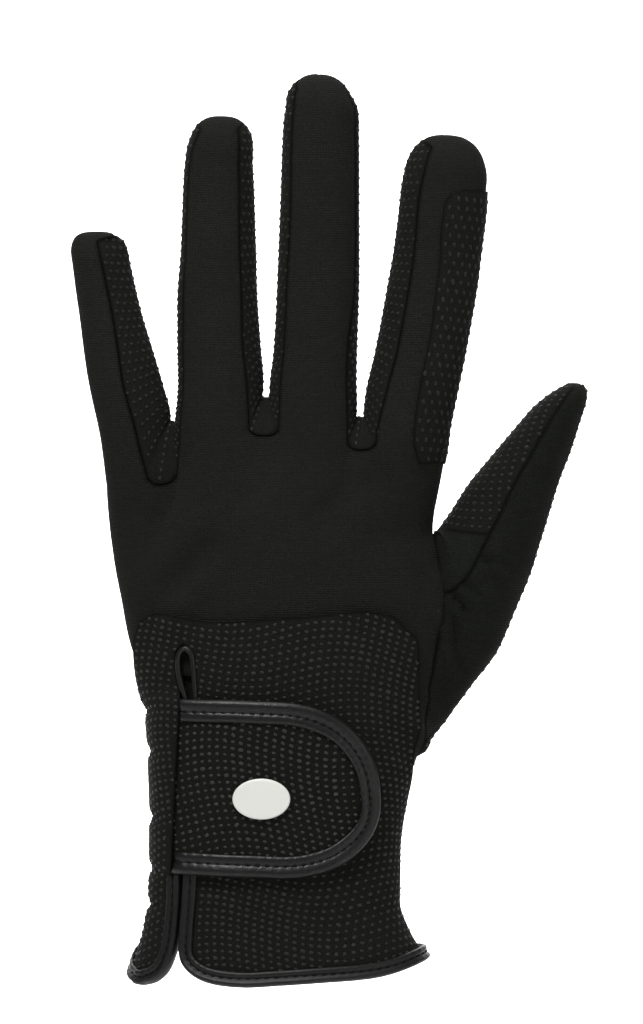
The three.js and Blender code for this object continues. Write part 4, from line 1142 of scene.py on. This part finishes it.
# A thread stitch from end to end: share of its length, share of its radius, lift
THREAD_RINGS = (
    (-0.5, 0.25, -0.16), (-0.36, 0.8, -0.03), (0.0, 1.0, 0.06), (0.36, 0.8, -0.03), (0.5, 0.25, -0.16),
)


def swept(name, frames, section, wave=0.05, taper=None):
    n = len(section)
    place, faces = [], []
    for point, side, normal, s, along in frames:
        cycle = math.cos(2 * math.pi * s / STITCH)
        slow = 0.05 * math.sin(s / 5.7) + 0.04 * math.sin(s / 2.3 + 1)
        drop = taper(s) if taper else 0.0
        for j, (out, lift) in enumerate(section):
            near = 1.0 if 4 <= j <= 12 else 0.3
            up = lift + near * wave * cycle + slow - drop
            place.append(point + side * (out + 0.5 * slow) + normal * up)
    for i in range(len(frames) - 1):
        for j in range(n):
            a, b = i * n + j, i * n + (j + 1) % n
            faces.append([a, b, b + n, a + n])
    faces.append(list(range(n))[::-1])
    faces.append([(len(frames) - 1) * n + j for j in range(n)])
    obj = new_object(name, place, faces)
    face_out(obj)
    return obj


def stitches(name, frames, out, lift, radius=0.23, start=0.0):
    """A row of short thread stitches, joined to one mesh."""
    place, faces, sides = [], [], THREAD_SIDES
    total = frames[-1][3]
    ss = [f[3] for f in frames]
    at = start + STITCH / 2
    while at < total - STITCH / 2:
        ring_start = len(place)
        for share, wide, sink in THREAD_RINGS:
            s = at + share * THREAD_LENGTH
            i = min(len(frames) - 2, max(0, int(np.searchsorted(ss, s)) - 1))
            t = (s - ss[i]) / max(1e-9, ss[i + 1] - ss[i])
            point = frames[i][0].lerp(frames[i + 1][0], t)
            side = frames[i][1].lerp(frames[i + 1][1], t)
            normal = frames[i][2].lerp(frames[i + 1][2], t)
            centre = point + side * (out + 0.1 * share) + normal * (lift + sink)
            for q in range(sides):
                w = 2 * math.pi * q / sides
                place.append(centre + (side * math.cos(w) + normal * math.sin(w)) * radius * wide)
        for ring in range(len(THREAD_RINGS) - 1):
            for q in range(sides):
                a = ring_start + ring * sides + q
                b = ring_start + ring * sides + (q + 1) % sides
                faces.append([a, b, b + sides, a + sides])
        faces.append([ring_start + q for q in reversed(range(sides))])
        faces.append([ring_start + 4 * sides + q for q in range(sides)])
        at += STITCH
    return new_object(name, place, faces)


# Cuff binding
binding_points = [(turn * DEG, up * PALM_LENGTH) for turn, up in BINDING_PATH]
cuff_frames = skin_path(smooth_path(binding_points, 420), -1)
CUFF_HEIGHT = DOTTED_WALL + CUFF_TOP + GAP + BINDING_WALL + SAG
cuff_section = binding_section(CUFF_ROLL, CUFF_HEIGHT, CUFF_FLAP, -DOTTED_WALL, CUFF_TOP)
cuff_binding = swept("cuff_leatherette", cuff_frames, cuff_section)
cuff_thread = stitches("cuff_thread", cuff_frames, -CUFF_ROLL - THREAD_IN, CUFF_TOP + THREAD_UP)

# Keyhole piping, along photo points
KEYHOLE_LINE = [
    (186, 702), (184, 693), (181, 683), (178.6, 673), (177.4, 663), (177.6, 656), (179.6, 650),
    (184.6, 646.8), (189.6, 650), (191.8, 656), (192.6, 664), (193.4, 674), (194.2, 685),
    (194.6, 695), (194.6, 702),
]
SLIT_PIPE = YOKE_LIFT + 0.85 * SLIT_ROLL


def photo_turn(px, py, lift):
    x, z = from_photo(px, py)
    return share_turn(x, z, lift), z


keyhole_points = [photo_turn(px, py, SLIT_PIPE) for px, py in KEYHOLE_LINE]
keyhole_frames = skin_path(smooth_path(keyhole_points, 120), 1)
round_section = [
    (0.64 * SLIT_ROLL * math.cos(w), SLIT_PIPE + 0.85 * SLIT_ROLL * math.sin(w))
    for w in (2 * math.pi * i / 12 for i in range(12))
]
slit_binding = swept("slit_piping", keyhole_frames, round_section, wave=0.02)


# Closing tab, its binding and the badge
def strap_edge(v, inset):
    half = STRAP_HEIGHT / 2 - inset
    left = STRAP_LEFT * PALM_WIDTH
    straight = left + STRAP_REACH * STRAP_ROUND
    bow = (STRAP_REACH * (1 - STRAP_ROUND) - inset) * (1 - abs(v) ** 2.3) ** (1 / 2.3)
    return left, straight, straight + bow, STRAP_UP * PALM_LENGTH + v * half


def strap_lean(x):
    return -0.035 * (x - STRAP_LEFT * PALM_WIDTH)


STRAP_ROWS, STRAP_CELLS = 44, 52


def strap_grid(lift):
    grid = []
    for r in range(STRAP_ROWS + 1):
        v = math.sin(((r / STRAP_ROWS) * 2 - 1) * math.pi * 0.47) / math.sin(math.pi * 0.47)
        v = min(1, max(-1, v))
        left, _, right, z0 = strap_edge(v, STRAP_ROLL + 2 * GAP)
        row = []
        for c in range(STRAP_CELLS + 1):
            x = mix(left, right, 1 - (1 - c / STRAP_CELLS) ** 1.4)
            z = z0 + strap_lean(x)
            row.append(tuple(body_point(share_turn(x, z, STRAP_BASE), z, -lift)))
        grid.append(row)
    return np.array(grid)


strap_outer, strap_inner = strap_grid(STRAP_TOP), strap_grid(STRAP_BASE)
strap_outer, strap_inner, strap_normals = soften(
    strap_outer, strap_inner, core_of(strap_outer), swelling=0.6
)
strap = Sheet("tab_suede", strap_outer, strap_inner)

# Share of the tab's half outline that runs straight
STRAIGHT = 0.36
strap_line = []
for i in range(61):
    t = i / 30 - 1
    flat = abs(t) > 1 - STRAIGHT
    v = math.copysign(1, t) if flat else math.sin(t / (1 - STRAIGHT) * math.pi / 2)
    left, mid, right, z0 = strap_edge(v * 0.9999, 0)
    x = mix(mid, left, (abs(t) - 1 + STRAIGHT) / STRAIGHT) if flat else right
    z = z0 + strap_lean(x)
    strap_line.append((share_turn(x, z, STRAP_BASE), z))
strap_frames = skin_path(smooth_path(strap_line, 300), 1)
STRAP_TOTAL = strap_frames[-1][3]


def strap_taper(s):
    end = min(s, STRAP_TOTAL - s)
    return 1.0 * (1 - smooth(end / 5))


strap_section = binding_section(STRAP_ROLL, STRAP_ROLL_HEIGHT, STRAP_FLAP, STRAP_BASE, STRAP_TOP)
strap_binding = swept("tab_leatherette", strap_frames, strap_section, taper=strap_taper)
strap_thread = stitches(
    "tab_thread", strap_frames, -STRAP_ROLL - THREAD_IN, STRAP_TOP + THREAD_UP, radius=0.27, start=2.5
)

BADGE_BASE = STRAP_TOP + GAP


# The badge from the middle of its face to the middle of its back: share out, share up
BADGE_RINGS = (
    (0.0, 1.0), (0.3, 1.0), (0.6, 1.0), (0.85, 1.0), (0.95, 0.98), (0.99, 0.8), (1.0, 0.5), (1.0, 0.1),
    (0.97, 0.0), (0.5, 0.0), (0.0, 0.0),
)


def badge_mesh():
    place, faces = [], []
    sides = 72
    for share, high in BADGE_RINGS:
        count = 1 if share == 0 else sides
        for s in range(count):
            a = 2 * math.pi * s / sides
            x = BADGE_X * PALM_WIDTH + share * BADGE_LENGTH / 2 * math.cos(a)
            z = BADGE_UP * PALM_LENGTH + share * BADGE_HEIGHT / 2 * math.sin(a)
            lift = BADGE_BASE + high * BADGE_WALL
            place.append(body_point(share_turn(x, z, BADGE_BASE), z, -lift))
    start = 1
    for s in range(sides):
        faces.append([0, start + s, start + (s + 1) % sides])
    for _ in BADGE_RINGS[2:-1]:
        for s in range(sides):
            a, b = start + s, start + (s + 1) % sides
            faces.append([a, a + sides, b + sides, b])
        start += sides
    last = len(place) - 1
    for s in range(sides):
        faces.append([start + s, last, start + (s + 1) % sides])
    obj = new_object("badge_plate", place, faces)
    face_out(obj)
    return obj


badge = badge_mesh()


# Grip dots
def lengths_along(grid, axis):
    step = np.linalg.norm(np.diff(grid, axis=axis), axis=2)
    pad = np.zeros_like(np.take(grid[..., 0], [0], axis=axis))
    return np.concatenate([pad, np.cumsum(step, axis=axis)], axis=axis)


def across_from(grid, x0):
    """Arc length along each row, counted from where the row passes x0."""
    s = lengths_along(grid, 1)
    for r in range(grid.shape[0]):
        x = grid[r, :, 0]
        top = int(np.argmax(x))
        s[r] -= np.interp(x0, x[: top + 1], s[r, : top + 1])
    return s


def warp(u, v, pitch_u, pitch_v, amount=1.0):
    """Lattice numbers of a print whose rows wave."""
    a = u + amount * (1.9 * np.sin(v / 9.7 + 0.6) + 1.0 * np.sin((u + v) / 14.0))
    b = v + amount * (2.7 * np.sin(u / 9.1 + v / 31.0) + 1.5 * np.sin(u / 19.0 - 1.1))
    return a / pitch_u, b / pitch_v


DOT_LONG, DOT_WIDE, DOT_HIGH = 1.15, 0.76, 0.22
DOT_PITCH, DOT_ROW = 2.2, 1.78

a, b = warp(across_from(yoke_outer, 0), yoke_outer[..., 2], DOT_PITCH, DOT_ROW)
cuff_dots = dots_object("cuff_dots", lattice_points(yoke, yoke_normals, a, b), DOT_LONG, DOT_WIDE, DOT_HIGH)

a, b = tongue_outer[..., 0] / DOT_PITCH, tongue_outer[..., 2] / DOT_ROW
tongue_dots = dots_object(
    "tongue_dots", lattice_points(tongue, tongue_normals, a, b), DOT_LONG, DOT_WIDE, DOT_HIGH
)

a, b = warp(across_from(strap_outer, -5.0) + 31, strap_outer[..., 2] + 12, DOT_PITCH, DOT_ROW)
strap_dots = dots_object(
    "tab_dots", lattice_points(strap, strap_normals, a, b, margin=1.6), DOT_LONG, DOT_WIDE, DOT_HIGH
)

# On the palm each finger counts from its own middle column
palm_u = across_from(palm_outer, 0)
root_index = ALL_ROWS.index(ROOT_ROW)
for k in range(4):
    first = k * (FINE_FINGER + FINE_CROTCH)
    middle = first + FINE_FINGER // 2
    for r in range(root_index):
        span = slice(first, first + FINE_FINGER + 1)
        palm_u[r, span] += palm_u[root_index, middle] - palm_u[r, middle]
a, b = warp(palm_u, palm_outer[..., 2], DOT_PITCH, DOT_ROW)
palm_dots = dots_object(
    "palm_dots", lattice_points(palm, palm_normals, a, b), DOT_LONG, DOT_WIDE, DOT_HIGH, sides=6
)

strip_dots = []
for k, (strip, n) in enumerate(zip(strips, strip_normals)):
    down = lengths_along(strip.outer, 0)[:, STRIP_CELLS // 2][:, None] + 0 * strip.outer[..., 0]
    wide = lengths_along(strip.outer, 1)
    wide = wide - wide[:, [STRIP_CELLS // 2]]
    # the print's rows run across the strip
    points = lattice_points(strip, n, wide / 2.15, down / 2.1, offset=0.5, margin=0.6)
    strip_dots.append(dots_object("dots_" + STRIP_NAMES[k], points, 1.15, 0.85, DOT_HIGH, sides=6))


def round_thumb(piece, n, name, margin=0.6):
    """Dots on a piece of the thumb, counted from its middle column."""
    grid = piece.outer
    middle = grid.shape[1] // 2
    u = lengths_along(grid, 1)
    u = u - u[:, [middle]]
    v = lengths_along(grid, 0)[:, [middle]] + 0 * grid[..., 0]
    a, b = warp(u, v, 2.3, 2.15, 0.4)
    points = lattice_points(piece, n, a, b, offset=0.5, margin=margin)
    return dots_object(name, points, 1.1, 0.85, DOT_HIGH, sides=6)


thumb_side_dots = round_thumb(thumb_inner, thumb_inner_normals, "thumb_side_dots")
thumb_suede_dots = round_thumb(thumb_palm, thumb_palm_normals, "thumb_suede_dots")

u = lengths_along(patch_outer, 1)
a, b = warp(u, patch_outer[..., 2], 2.35, 2.45, 0.3)
patch_dots = dots_object(
    "patch_dots", lattice_points(patch, patch_normals, a, b, offset=0.5, margin=0.75), 0.8, 1.3, 0.2,
    jitter=0.09,
)


# Materials
def srgb(*values):
    return tuple(((v / 255 + 0.055) / 1.055) ** 2.4 if v > 10 else v / 255 / 12.92 for v in values) + (1.0,)


def sockets(group, inputs, outputs):
    for name, kind, value in inputs:
        s = group.interface.new_socket(name, in_out="INPUT", socket_type=kind)
        if value is not None:
            s.default_value = value
    for name, kind in outputs:
        group.interface.new_socket(name, in_out="OUTPUT", socket_type=kind)
    return group.nodes.new("NodeGroupInput"), group.nodes.new("NodeGroupOutput")


def math_node(tree, operation, a, b=None):
    n = tree.nodes.new("ShaderNodeMath")
    n.operation = operation
    for i, v in enumerate((a, b)):
        if v is None:
            continue
        if isinstance(v, (int, float)):
            n.inputs[i].default_value = v
        else:
            tree.links.new(v, n.inputs[i])
    return n.outputs[0]


def noise(tree, vector, scale, detail=2.0, rough=0.5):
    n = tree.nodes.new("ShaderNodeTexNoise")
    n.inputs["Scale"].default_value = scale
    n.inputs["Detail"].default_value = detail
    n.inputs["Roughness"].default_value = rough
    tree.links.new(vector, n.inputs["Vector"])
    return n.outputs["Fac"]


def cloth_group():
    """Unevenness of cloth: broad shade, fine fuzz, and painted shade, a dark line near each piece's edge
    along a seam.
    """
    g = bpy.data.node_groups.new("Cloth shade", "ShaderNodeTree")
    src, out = sockets(
        g,
        [
            ("Vector", "NodeSocketVector", None),
            ("Rim", "NodeSocketFloat", 20.0),
            ("Fuzz", "NodeSocketFloat", 0.3),
        ],
        [("Shade", "NodeSocketFloat"), ("Height", "NodeSocketFloat")],
    )
    v = src.outputs["Vector"]
    broad = noise(g, v, 38, 3)
    fine = noise(g, v, 2600, 2, 0.6)
    # painted shade: within 0.9 mm of a piece's edge the colour is darkened, by up to 70 % right at the edge
    seam = math_node(g, "SUBTRACT", 1.0, math_node(g, "DIVIDE", src.outputs["Rim"], 0.9))
    seam = math_node(g, "MAXIMUM", seam, 0.0)
    shade = math_node(g, "ADD", 0.86, math_node(g, "MULTIPLY", broad, 0.28))
    grain = math_node(g, "MULTIPLY", math_node(g, "SUBTRACT", fine, 0.5), src.outputs["Fuzz"])
    shade = math_node(g, "ADD", shade, grain)
    painted_seam_shade = math_node(g, "SUBTRACT", 1.0, math_node(g, "MULTIPLY", seam, 0.7))
    shade = math_node(g, "MULTIPLY", shade, painted_seam_shade)
    g.links.new(shade, out.inputs["Shade"])
    g.links.new(fine, out.inputs["Height"])
    return g


COURSE_PITCH, WALE_PITCH = 0.0006, 0.00072


def rib_group():
    """Fine knitted ribs across the hand, with slightly wavering courses and wales."""
    g = bpy.data.node_groups.new("Knit ribs", "ShaderNodeTree")
    src, out = sockets(
        g,
        [("Vector", "NodeSocketVector", None), ("Pitch", "NodeSocketFloat", COURSE_PITCH)],
        [("Rib", "NodeSocketFloat")],
    )
    v = src.outputs["Vector"]
    split = g.nodes.new("ShaderNodeSeparateXYZ")
    g.links.new(v, split.inputs[0])
    drift = math_node(g, "MULTIPLY", noise(g, v, 60, 1), 0.0016)
    z = math_node(g, "ADD", split.outputs["Z"], drift)
    turns = math_node(g, "DIVIDE", z, src.outputs["Pitch"])
    course = math_node(g, "SINE", math_node(g, "MULTIPLY", turns, 2 * math.pi))
    wale = math_node(g, "SINE", math_node(g, "MULTIPLY", split.outputs["X"], 2 * math.pi / WALE_PITCH))
    rib = math_node(g, "ADD", math_node(g, "MULTIPLY", course, 0.36), math_node(g, "MULTIPLY", wale, 0.12))
    g.links.new(math_node(g, "ADD", rib, 0.5), out.inputs["Rib"])
    return g


def grain_group():
    """Leather grain: small pebbles and fine wrinkles."""
    g = bpy.data.node_groups.new("Leather grain", "ShaderNodeTree")
    src, out = sockets(
        g,
        [("Vector", "NodeSocketVector", None), ("Size", "NodeSocketFloat", 1.0)],
        [("Height", "NodeSocketFloat"), ("Shade", "NodeSocketFloat")],
    )
    v = src.outputs["Vector"]
    cells = g.nodes.new("ShaderNodeTexVoronoi")
    cells.inputs["Scale"].default_value = 2100
    g.links.new(v, cells.inputs["Vector"])
    wrinkle = noise(g, v, 900, 3, 0.6)
    pebbles = math_node(g, "MULTIPLY", cells.outputs["Distance"], 0.6)
    height = math_node(g, "ADD", pebbles, math_node(g, "MULTIPLY", wrinkle, 0.8))
    g.links.new(math_node(g, "MULTIPLY", height, src.outputs["Size"]), out.inputs["Height"])
    shade = math_node(g, "ADD", 0.72, math_node(g, "MULTIPLY", noise(g, v, 190, 3), 0.56))
    g.links.new(shade, out.inputs["Shade"])
    return g


CLOTH, RIBS, GRAIN = cloth_group(), rib_group(), grain_group()


def start(name):
    m = bpy.data.materials.new(name)
    m.use_nodes = True
    tree = m.node_tree
    shader = tree.nodes["Principled BSDF"]
    place = tree.nodes.new("ShaderNodeTexCoord").outputs["Object"]
    return m, tree, shader, place


def use(tree, group, vector):
    n = tree.nodes.new("ShaderNodeGroup")
    n.node_tree = group
    tree.links.new(vector, n.inputs["Vector"])
    return n


def tinted(tree, colour, shade, shader):
    m = tree.nodes.new("ShaderNodeVectorMath")
    m.operation = "SCALE"
    m.inputs[0].default_value = colour[:3]
    tree.links.new(shade, m.inputs["Scale"])
    tree.links.new(m.outputs[0], shader.inputs["Base Color"])


def bump(tree, shader, height, distance):
    n = tree.nodes.new("ShaderNodeBump")
    n.inputs["Distance"].default_value = distance
    n.inputs["Strength"].default_value = 1.0
    tree.links.new(height, n.inputs["Height"])
    tree.links.new(n.outputs[0], shader.inputs["Normal"])


def shine(shader, rough, specular, sheen=0.0):
    shader.inputs["Roughness"].default_value = rough
    shader.inputs["Specular IOR Level"].default_value = specular
    shader.inputs["Sheen Weight"].default_value = sheen


def rim_value(tree):
    """Distance of a cloth's point from the edge of its piece, in mm."""
    n = tree.nodes.new("ShaderNodeAttribute")
    n.attribute_name = "rim"
    return n.outputs["Fac"]


def knit(name, colour, rib):
    m, tree, shader, place = start(name)
    cloth, ribs = use(tree, CLOTH, place), use(tree, RIBS, place)
    tree.links.new(rim_value(tree), cloth.inputs["Rim"])
    cloth.inputs["Fuzz"].default_value = 2.0
    ribs.inputs["Pitch"].default_value = COURSE_PITCH
    band = math_node(tree, "ADD", 1 - rib / 2, math_node(tree, "MULTIPLY", ribs.outputs["Rib"], rib))
    tinted(tree, colour, math_node(tree, "MULTIPLY", cloth.outputs["Shade"], band), shader)
    fuzz = math_node(tree, "MULTIPLY", cloth.outputs["Height"], 0.4)
    bump(tree, shader, math_node(tree, "ADD", ribs.outputs["Rib"], fuzz), 0.00012)
    shine(shader, 0.95, 0.08, sheen=0.03)
    shader.inputs["Sheen Roughness"].default_value = 0.45
    return m


def suede(name, colour):
    m, tree, shader, place = start(name)
    cloth = use(tree, CLOTH, place)
    tree.links.new(rim_value(tree), cloth.inputs["Rim"])
    cloth.inputs["Fuzz"].default_value = 2.0
    tinted(tree, colour, cloth.outputs["Shade"], shader)
    bump(tree, shader, cloth.outputs["Height"], 0.00015)
    shine(shader, 0.92, 0.08, sheen=0.02)
    return m


def plain(name, colour, rough, specular=0.5, metallic=0.0, spread=0.3, scale=420):
    m, tree, shader, place = start(name)
    uneven = math_node(tree, "MULTIPLY", noise(tree, place, scale, 2), spread)
    tinted(tree, colour, math_node(tree, "ADD", 1 - spread / 2, uneven), shader)
    shine(shader, rough, specular)
    shader.inputs["Metallic"].default_value = metallic
    return m


def leatherette(name, colour, rough):
    m, tree, shader, place = start(name)
    grain = use(tree, GRAIN, place)
    tinted(tree, colour, grain.outputs["Shade"], shader)
    bump(tree, shader, grain.outputs["Height"], 0.00007)
    shine(shader, rough, 0.38)
    return m


KNIT_BACK = knit("knit back", srgb(30, 31, 28.5), rib=0.6)
# A darker copy of the back's knit, with weaker ribs: its darker colour is painted shade on the thumb.
KNIT_THUMB_PAINTED_SHADE = knit("knit thumb painted shade", srgb(26, 28, 24.5), rib=0.35)
SUEDE = suede("suede", srgb(25, 26.5, 23.5))
SUEDE_CUFF = suede("suede cuff", srgb(25, 26.5, 23.5))
# A slightly darker copy of the cuff's suede for the tab: painted shade.
SUEDE_TAB_PAINTED_SHADE = suede("suede tab painted shade", srgb(24, 25, 22))
# The dots' colour swings widely at random from dot to dot: partly random tone, partly painted glints on some
# dots.
DOT = plain("grip dots", srgb(34, 36, 32), 0.45, 0.35, spread=1.2, scale=420)
# A brighter, glossier copy of the grip dots for the tab: its brighter colour is painted light.
DOT_TAB_PAINTED_LIGHT = plain("grip dots tab painted light", srgb(44, 46, 42), 0.4, 0.45, spread=1.2, scale=420)
DOT_SOFT = plain("grip dots sides", srgb(34, 36, 32), 0.5, 0.2, spread=1.2, scale=420)
PIPING = leatherette("leatherette", srgb(16, 16, 15), 0.38)
# A darker, rougher copy of the leatherette for the cuff's binding: its darker colour is painted shade on the
# lower cuff.
PIPING_CUFF_PAINTED_SHADE = leatherette("leatherette cuff painted shade", srgb(13, 13, 12), 0.46)
THREAD = plain("thread", srgb(12, 12, 12), 0.7, 0.2)
METAL = plain("badge silver", srgb(245, 246, 239), 0.42, 0.5, metallic=0.1, spread=0.04, scale=60)


def finish_piece(obj, material, nodes=()):
    obj.data.materials.append(material)
    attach(obj, "root")
    if nodes:
        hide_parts(*nodes)


finish_piece(back.obj, KNIT_BACK, ["back_panel"])
finish_piece(palm.obj, SUEDE, ["palm_panel"])
finish_piece(palm_dots, DOT)
for k, name in enumerate(STRIP_NAMES):
    finish_piece(strips[k].obj, SUEDE, ["fourchette_" + name])
    finish_piece(strip_dots[k], DOT_SOFT)
finish_piece(thumb_back.obj, KNIT_THUMB_PAINTED_SHADE, ["thumb_back"])
finish_piece(thumb_gusset.obj, KNIT_THUMB_PAINTED_SHADE, ["thumb_gusset"])
finish_piece(thumb_palm.obj, SUEDE, ["thumb_palm"])
finish_piece(thumb_suede_dots, DOT)
finish_piece(thumb_inner.obj, SUEDE, ["thumb_inner"])
finish_piece(thumb_side_dots, DOT_SOFT)
finish_piece(patch.obj, SUEDE, ["index_patch"])
finish_piece(patch_dots, DOT_SOFT)
finish_piece(yoke.obj, SUEDE_CUFF, ["cuff_yoke"])
finish_piece(cuff_dots, DOT)
finish_piece(tongue.obj, SUEDE_CUFF)
finish_piece(tongue_dots, DOT_SOFT)
finish_piece(strap.obj, SUEDE_TAB_PAINTED_SHADE, ["strap"])
finish_piece(strap_dots, DOT_TAB_PAINTED_LIGHT)
finish_piece(slit_binding, PIPING, ["slit_binding"])
finish_piece(strap_binding, PIPING, ["strap_binding"])
finish_piece(strap_thread, THREAD)
finish_piece(cuff_binding, PIPING_CUFF_PAINTED_SHADE, ["cuff_binding"])
finish_piece(cuff_thread, THREAD)
finish_piece(badge, METAL, ["badge"])


# Each sheet's flat width and length in metres, and its flat area in square metres
def cloth(piece, width, length, area, rests_on=(), with_pieces=()):
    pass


cloth(back.obj, 0.11, 0.207, 0.01342)
cloth(palm.obj, 0.13, 0.235, 0.01551, with_pieces=[palm_dots])
cloth(strips[0].obj, 0.028, 0.174, 0.001994, with_pieces=[strip_dots[0]])
cloth(strips[1].obj, 0.023, 0.187, 0.002334, with_pieces=[strip_dots[1]])
cloth(strips[2].obj, 0.022, 0.191, 0.002398, with_pieces=[strip_dots[2]])
cloth(thumb_back.obj, 0.033, 0.108, 0.001423)
cloth(thumb_palm.obj, 0.045, 0.111, 0.002384, with_pieces=[thumb_suede_dots])
cloth(thumb_inner.obj, 0.036, 0.052, 0.001413, with_pieces=[thumb_side_dots])
cloth(thumb_gusset.obj, 0.04, 0.025, 0.000454)
cloth(patch.obj, 0.02, 0.075, 0.001402, [back.obj.name], [patch_dots])
cloth(yoke.obj, 0.108, 0.097, 0.008039, [back.obj.name], [cuff_dots, cuff_binding, cuff_thread, slit_binding])
cloth(strap.obj, 0.056, 0.046, 0.001935, [yoke.obj.name], [strap_dots, strap_binding, strap_thread, badge])
cloth(tongue.obj, 0.018, 0.066, 0.00117, [], [tongue_dots])


# Studio
# Backdrop in mm: half width, near edge, floor, foot of the curve, its radius and the wall's top
BACKDROP_HALF, NEAR, FLOOR, CURVE_FOOT, CURVE, WALL_TOP = 3000, -3200, -300, 2200, 600, 3600


def backdrop():
    place, faces = [], []
    profile = [(NEAR, FLOOR)]
    for i in range(13):
        t = math.pi / 2 * i / 12
        profile.append((CURVE_FOOT + CURVE * math.sin(t), FLOOR + CURVE * (1 - math.cos(t))))
    profile.append((CURVE_FOOT + CURVE, WALL_TOP))
    for y, z in profile:
        place += [(-BACKDROP_HALF, y, z), (BACKDROP_HALF, y, z)]
    for i in range(len(profile) - 1):
        faces.append([2 * i, 2 * i + 1, 2 * i + 3, 2 * i + 2])
    obj = new_object("backdrop", place, faces)
    m = bpy.data.materials.new("backdrop")
    m.use_nodes = True
    shader = m.node_tree.nodes["Principled BSDF"]
    shader.inputs["Base Color"].default_value = (0.9, 0.9, 0.9, 1)
    shine(shader, 0.9, 0.1)
    obj.data.materials.append(m)


backdrop()


def lamp(name, place, target, size, energy):
    data = bpy.data.lights.new(name, "AREA")
    data.shape = "RECTANGLE"
    data.size, data.size_y = size
    data.energy = energy
    obj = bpy.data.objects.new(name, data)
    COLLECTION.objects.link(obj)
    obj.location = place
    obj.rotation_euler = (Vector(target) - Vector(place)).to_track_quat("-Z", "Y").to_euler()


MIDDLE_POINT = (0.0, 0.0, 0.11)
lamp("key", (-0.3, -0.7, 1.05), MIDDLE_POINT, (0.45, 0.3), 10.3)
lamp("fill", (0.9, -0.8, 0.2), MIDDLE_POINT, (0.7, 0.9), 1.9)
lamp("top", (0.0, -0.05, 1.3), MIDDLE_POINT, (0.7, 0.5), 4.4)
lamp("wall", (0.0, 1.6, 1.6), (0.0, 2.75, 0.15), (1.8, 0.6), 95)
lamp("wall low", (0.0, 1.8, -0.2), (0.0, 2.8, 0.25), (1.8, 0.3), 22)

world = bpy.context.scene.world or bpy.data.worlds.new("World")
bpy.context.scene.world = world
world.use_nodes = True
world.node_tree.nodes["Background"].inputs["Color"].default_value = (1, 1, 1, 1)
world.node_tree.nodes["Background"].inputs["Strength"].default_value = 0.2
bpy.context.scene.view_settings.view_transform = "Standard"

camera = bpy.data.objects.new("Camera", bpy.data.cameras.new("Camera"))
COLLECTION.objects.link(camera)
# The photo's middle, looked at level from far off
VIEW_X, VIEW_Z, VIEW_DISTANCE, LENS = 0.0108, 0.1222, 1.5, 202.9
camera.location = (VIEW_X, -VIEW_DISTANCE, VIEW_Z)
camera.rotation_euler = (math.pi / 2, 0, 0)
camera.data.lens = LENS
bpy.context.scene.camera = camera
